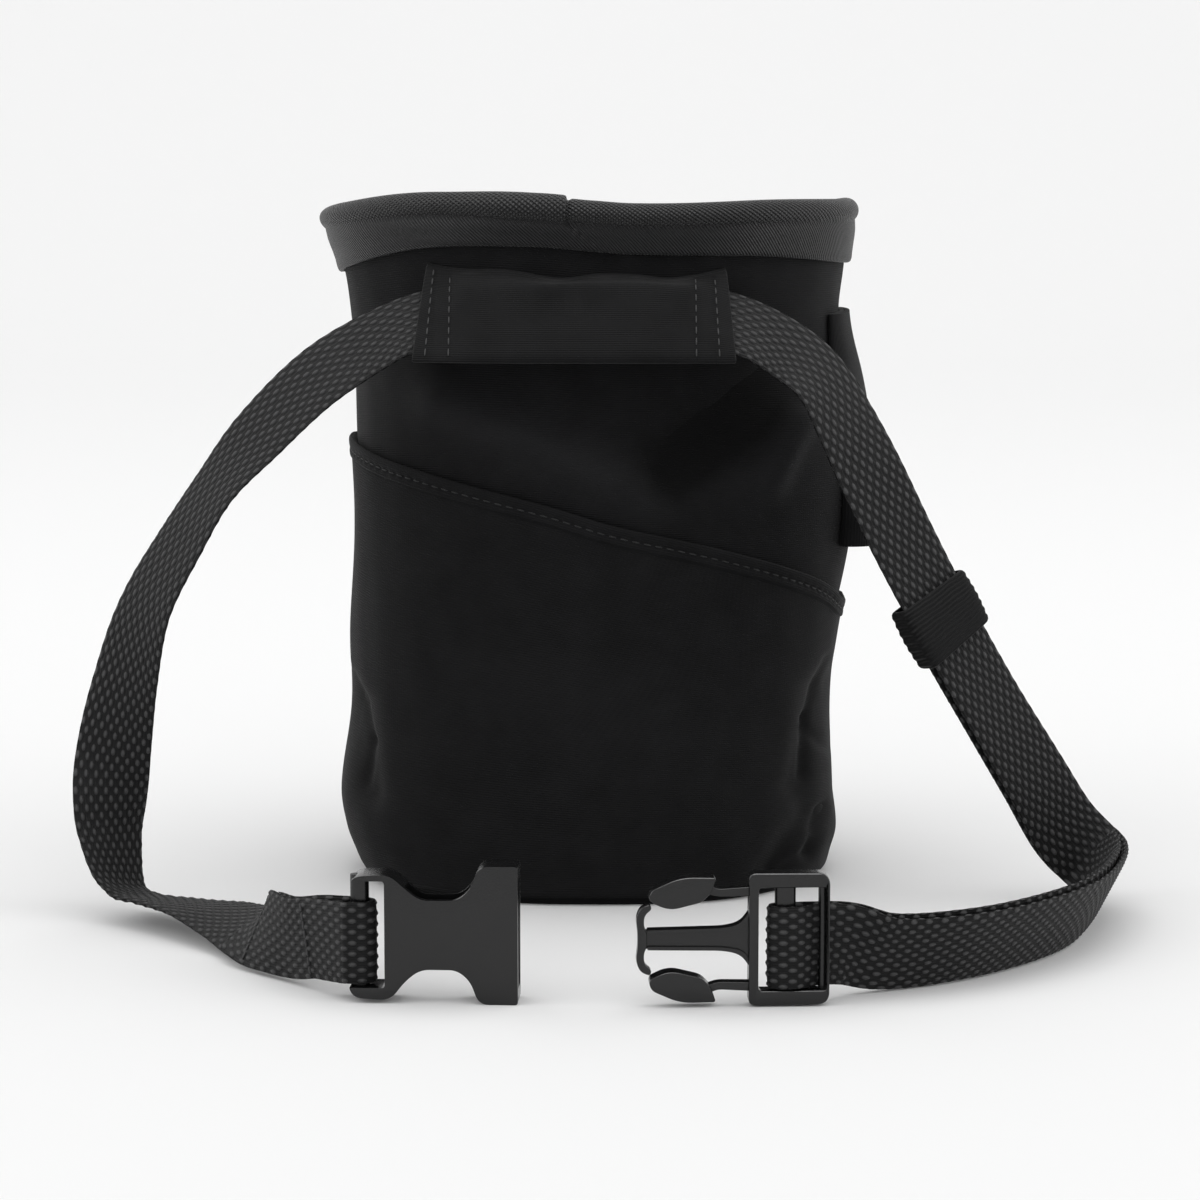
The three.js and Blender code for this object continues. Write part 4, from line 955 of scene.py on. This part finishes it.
# The belt
def weave_height(around, along):
    """Relief of the webbing, from 0 in the gaps to 1 on the knots."""
    wale = around / WALE
    local = (wale - np.floor(wale) - 0.5) * WALE / KNOT_HALF_WIDTH
    phase = along / YARN_FLOAT + np.floor(wale) / 2
    reach = (phase - np.floor(phase) - 0.5) * YARN_FLOAT / KNOT_HALF_LENGTH
    return np.exp(-1.1 * (local ** 2 + reach ** 2))


def web_section():
    """Outline of the webbing: across, outwards, and the way of the relief."""
    places = np.arange(-30, 31) * WALE / 4
    edge = WEB_WIDTH / 2
    flat = np.minimum(np.abs(places) / edge, 1)
    swell = WEB_THICKNESS / 2 * (1 - flat ** 9 * 0.45)

    def round_edge(side, turns):
        return [(side * edge + 0.05 * math.cos(a), WEB_THICKNESS * 0.36 * math.sin(a), math.cos(a),
                 math.sin(a)) for a in map(math.radians, turns)]

    front = [(a, b, 0, 1) for a, b in zip(places, swell)]
    back = [(a, -b, 0, -1) for a, b in zip(places[::-1], swell[::-1])]
    return np.array(front + round_edge(1, (50, 0, -50)) + back + round_edge(-1, (-130, 180, 130)))


def web_piece(name, band, start, end_caps):
    """One stretch of the webbing, with its relief in the mesh."""
    section = web_section()
    along = band.along[:, None] + start
    around = way_along(section[:, :2])
    sunk = WEAVE_DEPTH * (weave_height(around[None], along) - 1)
    points = band.grid(section[None, :, 0] + sunk * section[None, :, 2],
                       section[None, :, 1] + sunk * section[None, :, 3])
    for row, capped in zip((0, -1), end_caps):
        if capped:
            points[row] = points[row].mean(0)
    uv = grid_uv(along[:, 0], np.append(around, 2 * around[-1] - around[-2]))
    surface(name, points, uv, WEBBING, ["belt_webbing"], False, True)


def belt():
    path = belt_path()
    step = YARN_FLOAT / 6
    count = int(path.along[-1] / step)
    even = path.at(np.linspace(0, path.along[-1], count))
    cuts = [0, count // 3, count * 2 // 3, count - 1]
    for k, name in enumerate(("webbing_left", "webbing_middle", "webbing_right")):
        first, last = cuts[k], cuts[k + 1] + 1
        piece = Band(even.centre[first:last], even.travel[first:last], even.across[first:last])
        web_piece(name, piece, even.along[first], (k == 0, k == 2))
    return even


def frayed_end(even):
    """Short yarns at the cut end of the sewn stub."""
    random = np.random.default_rng(5)
    points, faces = [], []
    for k in range(FRAY_COUNT):
        across = -WEB_WIDTH / 2 + WEB_WIDTH * (k + 0.5) / FRAY_COUNT
        root = even.centre[0] + even.across[0] * across + even.face[0] * random.uniform(-0.5, 0.5)
        way = unit(-even.travel[0] + even.across[0] * random.uniform(-0.4, 0.4)
                   + even.face[0] * random.uniform(-0.3, 0.3))
        reach = random.uniform(0.5, 1.5) + 1.0 * (k in (0, 1))
        side = unit(np.cross(way, even.face[0]))
        other = np.cross(way, side)
        first = len(points)
        for share, thick in ((-0.6, 0.2), (0.5, 0.17), (1.0, 0.04)):
            middle = root + way * reach * share + side * 0.25 * share ** 2 * random.uniform(-1, 1)
            for turn in np.arange(YARN_SIDES) * 2 * np.pi / YARN_SIDES:
                points.append(middle + thick * (side * math.cos(turn) + other * math.sin(turn)))
        faces += [first + face for face in grid_faces(3, YARN_SIDES, closed_columns=True)[0]]
    add_mesh("frayed_yarns", points, faces, None, WEBBING, ["belt_webbing"])


def keeper_band():
    """Elastic band round the two layers of the belt."""
    shares = np.linspace(-0.5, 0.5, 46)
    frames = MAIN.at(KEEPER_PLACE + shares * KEEPER_LENGTH)
    swell = np.cos(np.pi * shares)[:, None]
    ruffle = 0.16 * np.cos(2 * np.pi * shares[:, None] * KEEPER_LENGTH / 2.2)
    turn = np.linspace(0, 2 * np.pi, KEEPER_AROUND, endpoint=False)
    c, s = np.cos(turn)[None], np.sin(turn)[None]
    power = 2 / 7
    rings = []
    for grow, outside in ((KEEPER_WALL, 1), (0.1, 0)):
        wide = WEB_WIDTH / 2 + WEB_PLAY + grow + (0.5 * swell + ruffle) * outside
        thick = (WEB_THICKNESS + WEB_PITCH) / 2 + GAP + grow + 0.25 * swell * outside
        rings.append(frames.grid(wide * np.sign(c) * np.abs(c) ** power,
                                 thick * np.sign(s) * np.abs(s) ** power - WEB_PITCH / 2))
    outer, inner = rings
    for end in (0, -1):
        outer[end] = outer[end] * 0.7 + inner[end] * 0.3
    points = np.concatenate([outer, inner[::-1]], 0)
    u = np.concatenate([shares, shares[::-1]]) * KEEPER_LENGTH
    uv = grid_uv(np.append(u, u[0]), np.arange(KEEPER_AROUND + 1) * 0.5)
    surface("keeper_band", points, uv, ELASTIC, ["keeper"], True, True)


# Stitches
def bead(length, width, height, sides=8, rings=7):
    """Long round bead along X."""
    a = np.linspace(0, math.pi, rings)[:, None]
    t = np.arange(sides)[None] * 2 * math.pi / sides
    girth = np.maximum(np.sin(a), 0) ** 0.6 / 2
    points = np.stack([-np.cos(a) * length / 2 + 0 * t, girth * width * np.cos(t),
                       girth * height * np.sin(t)], -1)
    return points.reshape(-1, 3), grid_faces(rings, sides, closed_columns=True)[0][:, [0, 3, 2, 1]]


def stitches(name, lines, replaces, pitch=STITCH_PITCH, length=STITCH_LENGTH, width=STITCH_WIDTH,
             thread=THREAD):
    """Rows of stitches. Each line holds its points and the outward ways at them."""
    shape, shape_faces = bead(length, width, width * 0.8)
    points, faces = [], []
    for places, outward in lines:
        way = way_along(places)
        for at in np.arange(pitch / 2, way[-1], pitch):
            x = unit(rows_at(at + 0.6, way, places) - rows_at(at - 0.6, way, places))
            z = rows_at(at, way, outward)
            z = unit(z - np.dot(z, x) * x)
            faces += [len(points) + face for face in shape_faces]
            points += list(rows_at(at, way, places) + shape @ np.stack([x, np.cross(z, x), z]))
    add_mesh(name, points, faces, None, thread, replaces)


def hem_stitches():
    angles = np.linspace(POCKET_FROM + 2.5, POCKET_TO - 2.5, 420)
    z = hem_height(angles) - TOPSTITCH_DROP
    places = wall_point(angles, z, GAP + PLY + HEM_RIDGE * 0.72)
    outward = wall_point(angles, z, 3) - wall_point(angles, z, 0)
    stitches("hem_stitches", [(places, unit(outward))], ["pocket_panel"], thread=HEM_THREAD)


def sleeve_stitches(outer):
    """Two lines of stitches near each end of the sleeve, on its front."""
    x = outer[:, SLEEVE_FRONT, 0]
    lines = []
    for place in SLEEVE_SEAMS:
        front = outer[np.argmin(np.abs(x - place)), SLEEVE_FRONT_SPAN]
        outward = unit(np.cross(np.gradient(front, axis=0), [1.0, 0, 0]))
        outward *= np.sign(-outward[:, 1:2])
        lines.append((front + outward * 0.12, outward))
    stitches("sleeve_stitches", lines, ["belt_sleeve"])


def cross_stitches():
    """Lines of stitches across the belt, where its layers are sewn together."""
    lines = []
    across = np.linspace(-WEB_WIDTH / 2 + 1.2, WEB_WIDTH / 2 - 1.2, 30)[:, None]
    top = WEB_THICKNESS / 2 - 0.1
    for along, side in ((FEMALE_BAR * 3.2, 1), (STUB_LENGTH - 11, 1), (KEEPER_PLACE + 36, -1)):
        one = MAIN.at(np.full(30, float(along)))
        out = top + WEB_PITCH if side > 0 else -top - WEB_PITCH
        lines.append((one.centre + one.across * across + one.face * out, one.face * side))
    stitches("belt_stitches", lines, ["belt_webbing"], pitch=2.1, length=1.9, width=0.6)


# Buckles, drawn as outlines of along, up and the radius of the corner
def rounded(outline, steps=5):
    """Outline with its corners turned into arcs."""
    points = np.array([(a, b) for a, b, _ in outline], float)
    rounds = [r for _, _, r in outline]
    result = []
    for k, corner in enumerate(points):
        before, after = points[k - 1], points[(k + 1) % len(points)]
        way_in, way_out = unit(before - corner), unit(after - corner)
        sides = np.linalg.norm(before - corner), np.linalg.norm(after - corner)
        reach = min(rounds[k], 0.48 * min(sides))
        if reach < 0.02:
            result.append(corner)
            continue
        start, stop = corner + way_in * reach, corner + way_out * reach
        for t in np.linspace(0, 1, steps):
            result.append((1 - t) ** 2 * start + 2 * t * (1 - t) * corner + t * t * stop)
    return np.array(result)


def mirrored(half):
    return half + [(a, -b, r) for a, b, r in reversed(half)]


def draft(name, points, faces, closed=True):
    mesh = bpy.data.meshes.new(name)
    mesh.from_pydata([tuple(map(float, p)) for p in points], [], faces)
    mesh.validate()
    if closed:
        shape = bmesh.new()
        shape.from_mesh(mesh)
        bmesh.ops.recalc_face_normals(shape, faces=shape.faces)
        shape.to_mesh(mesh)
        shape.free()
    return linked(name, mesh)


def plate(name, outline, thickness, steps=5):
    """Plate from an outline, with its thickness centred on the buckle's plane."""
    ring = rounded(outline, steps)
    n = len(ring)
    points = [(a, y, b) for y in (-thickness / 2, thickness / 2) for a, b in ring]
    faces = [tuple(range(n)), tuple(range(2 * n - 1, n - 1, -1))]
    faces += [(k, n + k, n + (k + 1) % n, (k + 1) % n) for k in range(n)]
    return draft(name, points, faces)


def block(name, along, half, thickness):
    return plate(name, mirrored([(along[0], half, 0), (along[1], half, 0)]), thickness)


def bar(name, along, width, thickness, forward=0.0):
    """Round bar across the opening for the webbing."""
    half = SLOT_HEIGHT / 2 + 0.8
    turn = np.arange(ROD_SIDES) * 2 * math.pi / ROD_SIDES
    points = [(along + width / 2 * math.cos(t), -forward + thickness / 2 * math.sin(t), z)
              for z in (-half, half) for t in turn]
    faces = [tuple(range(ROD_SIDES - 1, -1, -1)), tuple(range(ROD_SIDES, 2 * ROD_SIDES))]
    faces += [(k, (k + 1) % ROD_SIDES, ROD_SIDES + (k + 1) % ROD_SIDES, ROD_SIDES + k)
              for k in range(ROD_SIDES)]
    return draft(name, points, faces)


def settle(obj):
    """The mesh with its modifiers worked in."""
    graph = bpy.context.evaluated_depsgraph_get()
    mesh = bpy.data.meshes.new_from_object(obj.evaluated_get(graph))
    obj.modifiers.clear()
    obj.data = mesh


def cut(obj, cutter):
    modifier = obj.modifiers.new("cut", "BOOLEAN")
    modifier.operation = "DIFFERENCE"
    modifier.solver = "EXACT"
    modifier.object = cutter
    settle(obj)
    bpy.data.objects.remove(cutter)


def soften(obj, width, segments):
    """Rounded edges."""
    modifier = obj.modifiers.new("soft", "BEVEL")
    modifier.width = width
    modifier.segments = segments
    modifier.limit_method = "ANGLE"
    modifier.angle_limit = math.radians(30)
    settle(obj)


def stand_up(name, parts, x, y, height, heading, node):
    """Buckle piece from its plates, turned about its bar and set on the surface."""
    a = math.radians(heading)
    points, faces = [], []
    for obj in parts:
        base = len(points)
        points += [tuple(v.co) for v in obj.data.vertices]
        faces += [tuple(base + i for i in p.vertices) for p in obj.data.polygons]
        bpy.data.objects.remove(obj)
    p = np.array(points)
    turned = np.stack([p[:, 0] * math.cos(a) - p[:, 1] * math.sin(a) + x,
                       p[:, 0] * math.sin(a) + p[:, 1] * math.cos(a) + y, p[:, 2] + height / 2], 1)
    obj = add_mesh(name, turned, faces, None, PLASTIC, [node])
    obj.data.set_sharp_from_angle(angle=math.radians(40))


def flanks(pieces):
    """Softened plates above and below the middle: name, outline, thickness, steps, edge, segments."""
    made = []
    for side in (1, -1):
        for name, outline, thickness, steps, width, segments in pieces:
            piece = plate(name, [(a, side * b, r) for a, b, r in outline], thickness, steps)
            soften(piece, width, segments)
            made.append(piece)
    return made


def placed(start, scale, rows):
    """Outline from rows measured from a start, with a scale for the way up."""
    return [(start + a, scale * b, r) for a, b, r in rows]


def buckle_female():
    top, slot = BUCKLE_HEIGHT / 2, SLOT_HEIGHT / 2
    body = FEMALE_BAR + FEMALE_SLOT
    scoop, wing = top * 0.5, FEMALE_LENGTH * 0.76
    wings = [
        (body + 4.8, scoop + 2.6, 2.6), (body + 8.2, scoop, 4), (wing - 4.6, scoop, 4),
        (wing - 1.6, top * 0.66, 2.6), (wing + 0.4, top, 2.4), (FEMALE_LENGTH, top, 0.8),
    ]
    upper = [(0, top * 0.84, 3.4), (body + 1.2, top * 0.87, 2.6)] + wings
    lower = [(0, top * 0.92, 3.4), (body + 1.2, top * 0.95, 2.4)] + wings
    outline = upper + [(a, -b, r) for a, b, r in reversed(lower)]
    shell = plate("female_shell", outline, FEMALE_THICKNESS, 8)
    cut(shell, plate("slot", mirrored([(FEMALE_BAR - 0.1, slot, 0.8), (body, slot, 0.8)]), 30))
    cut(shell, block("front", (-2, FEMALE_BAR + 0.4), slot, 30))
    soften(shell, 1.1, 4)
    cut(shell, block("channel", (body + 4.5, FEMALE_LENGTH + 1), CHANNEL_HEIGHT / 2, CHANNEL_THICKNESS))
    rod = bar("rod", FEMALE_BAR / 2, FEMALE_BAR, FEMALE_BAR_THICKNESS)
    stand_up("female_body", [shell, rod], FEMALE_X, FEMALE_Y, BUCKLE_HEIGHT, FEMALE_HEADING,
             "buckle_female")


def buckle_male():
    top, slot = MALE_HEIGHT / 2, SLOT_HEIGHT / 2 - 0.5
    arm, head = MALE_FRAME - 0.8, top * 0.5
    frame_plate = plate("male_frame", mirrored([(0, top * 0.97, 2.8), (MALE_FRAME, top * 0.98, 1.6)]),
                        MALE_THICKNESS, 8)
    opening = [(OUTER_BAR * 0.3, slot, 0.8), (MALE_FRAME - CROSSBAR, slot, 0.8)]
    cut(frame_plate, plate("slot", mirrored(opening), 30))
    soften(frame_plate, 0.8, 4)
    outer_rod = bar("outer_rod", OUTER_BAR / 2 + 0.15, OUTER_BAR, OUTER_BAR_THICKNESS, OUTER_BAR_FORWARD)
    middle_rod = bar("middle_rod", MIDDLE_BAR_AT + MIDDLE_BAR / 2, MIDDLE_BAR, MIDDLE_BAR_THICKNESS)
    spring = [
        (arm, top * 0.77, 0.2), (arm + 8, top * 0.74, 3), (PRONG_REACH - 13, top * 0.82, 1),
        (PRONG_REACH - 12.5, top * 0.70, 0.5), (arm + 8, top * 0.63, 3), (arm, top * 0.64, 0.2),
    ]
    pad = placed(PRONG_REACH, top, [
        (-15.2, 0.92, 0.8), (-7, 0.93, 3), (-0.4, 0.74, 2.6), (0.2, 0.58, 1.4), (-4.5, 0.44, 3),
        (-12, 0.56, 2.5), (-14, 0.70, 0.8),
    ])
    web = placed(arm, 1, [(0, 6.3, 0.2), (2.2, 3.2, 2), (5.5, 2.4, 2)]) + [(STEM_REACH - 1.9, 2.1, 0.2)]
    rib = (placed(arm, 1, [(0, 7.2, 0.2), (2.6, 3.5, 2.5), (6.5, 2.6, 2.5)])
           + placed(STEM_REACH, 1, [(-2.6, 2.3, 0.3), (-2.6, 1.5, 0.3)])
           + placed(arm, 1, [(6.3, 1.8, 2.5), (2.0, 2.6, 2.5), (0, 5.6, 0.2)]))
    head_outline = placed(STEM_REACH, 1, [
        (-2.5, 1.6, 0.6), (-1.8, 3.2, 1.2), (-1.9, head - 2.2, 1.6), (-3.6, head - 0.7, 0.8),
        (-3.2, head + 0.5, 0.7), (-1.0, head - 0.4, 1.6), (0, head - 2.8, 2.0), (-0.4, 1.6, 1.0),
    ])
    prongs = flanks([("spring", spring, PRONG_THICKNESS * 0.72, 6, 0.45, 3),
                     ("pad", pad, PRONG_THICKNESS * 1.12, 7, 1.7, 5)])
    web_plate = plate("web", mirrored(web), STEM_THICKNESS * 0.5, 6)
    ribs = flanks([("rib", rib, STEM_THICKNESS, 6, 0.28, 2)])
    head_plate = plate("head", mirrored(head_outline), STEM_THICKNESS, 7)
    soften(head_plate, 0.35, 3)
    parts = [frame_plate, outer_rod, middle_rod, *prongs, web_plate, *ribs, head_plate]
    stand_up("male_body", parts, MALE_X, MALE_Y, MALE_HEIGHT, 180 + MALE_HEADING, "buckle_male")


# Studio, in metres
PAPER_NEAR = (0.842, 0.842, 0.842)
PAPER_FAR = (0.935, 0.935, 0.935)
PAPER_START, PAPER_BEND, PAPER_TOP = -2.6, 1.6, 3.4
PAPER_HALF_WIDTH = 3.5
BEND_RADIUS = 0.9
AMBIENT = 0.93
LENS, SENSOR = 114, 36           # millimetres
CAMERA_PLACE = (0.0016, -1.0, 0.2116)
CAMERA_TILT = 82
LAMPS = [
    # name, place, aim, size, power, shine only
    ("top", (0.0, 0.1, 1.5), (0.0, 0.0, 0.0), (1.6, 1.3), 4, False),
    ("left", (-1.3, -0.5, 0.8), (0.0, 0.0, 0.08), (0.9, 1.1), 2.5, False),
    ("right", (1.3, -0.3, 0.8), (0.0, 0.0, 0.08), (0.9, 1.1), 2.2, False),
    ("top_shine", (0.0, -0.3, 1.2), (0.0, -0.1, 0.05), (0.9, 1.2), 19, True),
    ("left_shine", (-1.1, 0.3, 0.5), (0.0, 0.0, 0.1), (0.35, 0.8), 3.5, True),
    ("right_shine", (1.1, 0.3, 0.5), (0.0, 0.0, 0.1), (0.35, 0.8), 2.8, True),
]


def paper_material():
    """White paper, a little darker near the front."""
    paper = bpy.data.materials.new("paper")
    paper.use_nodes = True
    nodes, links = paper.node_tree.nodes, paper.node_tree.links
    shader = nodes["Principled BSDF"]
    shader.inputs["Roughness"].default_value = 0.9
    shader.inputs["Specular IOR Level"].default_value = 0.15
    split, depth, shade = [nodes.new("ShaderNode" + kind) for kind in ("SeparateXYZ", "MapRange", "Mix")]
    shade.data_type = "RGBA"
    shade.inputs["A"].default_value = (*PAPER_NEAR, 1)
    shade.inputs["B"].default_value = (*PAPER_FAR, 1)
    depth.inputs["From Min"].default_value = -0.5
    depth.inputs["From Max"].default_value = PAPER_BEND
    links.new(nodes.new("ShaderNodeTexCoord").outputs["Object"], split.inputs[0])
    links.new(split.outputs["Y"], depth.inputs["Value"])
    links.new(depth.outputs[0], shade.inputs[0])
    links.new(shade.outputs["Result"], shader.inputs["Base Color"])
    return paper


def paper_sweep():
    """Floor that bends up behind the bag."""
    bend = [(PAPER_BEND + BEND_RADIUS * math.sin(a), BEND_RADIUS - BEND_RADIUS * math.cos(a))
            for a in np.radians(np.arange(6, 91, 6))]
    sweep = [(PAPER_START, 0), (PAPER_BEND, 0), *bend, (PAPER_BEND + BEND_RADIUS, PAPER_TOP)]
    points = [(x, y, z) for y, z in sweep for x in (-PAPER_HALF_WIDTH, PAPER_HALF_WIDTH)]
    faces = [(2 * k, 2 * k + 1, 2 * k + 3, 2 * k + 2) for k in range(len(sweep) - 1)]
    floor = draft("floor", points, faces, closed=False)
    floor.data.polygons.foreach_set("use_smooth", [True] * len(floor.data.polygons))
    floor.data.materials.append(paper_material())


def studio():
    paper_sweep()
    world = bpy.data.worlds.new("studio")
    bpy.context.scene.world = world
    world.use_nodes = True
    world.node_tree.nodes["Background"].inputs["Color"].default_value = (1, 1, 1, 1)
    world.node_tree.nodes["Background"].inputs["Strength"].default_value = AMBIENT
    for name, place, aim, size, power, shine_only in LAMPS:
        data = bpy.data.lights.new(name, "AREA")
        data.shape = "RECTANGLE"
        data.size, data.size_y = size
        data.energy = power
        lamp = linked(name, data)
        lamp.visible_diffuse = not shine_only
        lamp.location = place
        lamp.rotation_euler = (Vector(aim) - Vector(place)).to_track_quat("-Z", "Y").to_euler()
    data = bpy.data.cameras.new("camera")
    data.lens = LENS
    data.sensor_width = SENSOR
    camera = linked("camera", data)
    camera.location = CAMERA_PLACE
    camera.rotation_euler = (math.radians(CAMERA_TILT), 0, 0)
    bpy.context.scene.camera = camera
    bpy.context.scene.view_settings.view_transform = "Standard"


bag_cloth()
bag_lining()
base_cloth()
pocket_cloth()
rim_tape()
hem_stitches()
sleeve_stitches(sleeve_cloth())
brush_cloth()
even_path = belt()
frayed_end(even_path)
cross_stitches()
keeper_band()
buckle_female()
buckle_male()
studio()
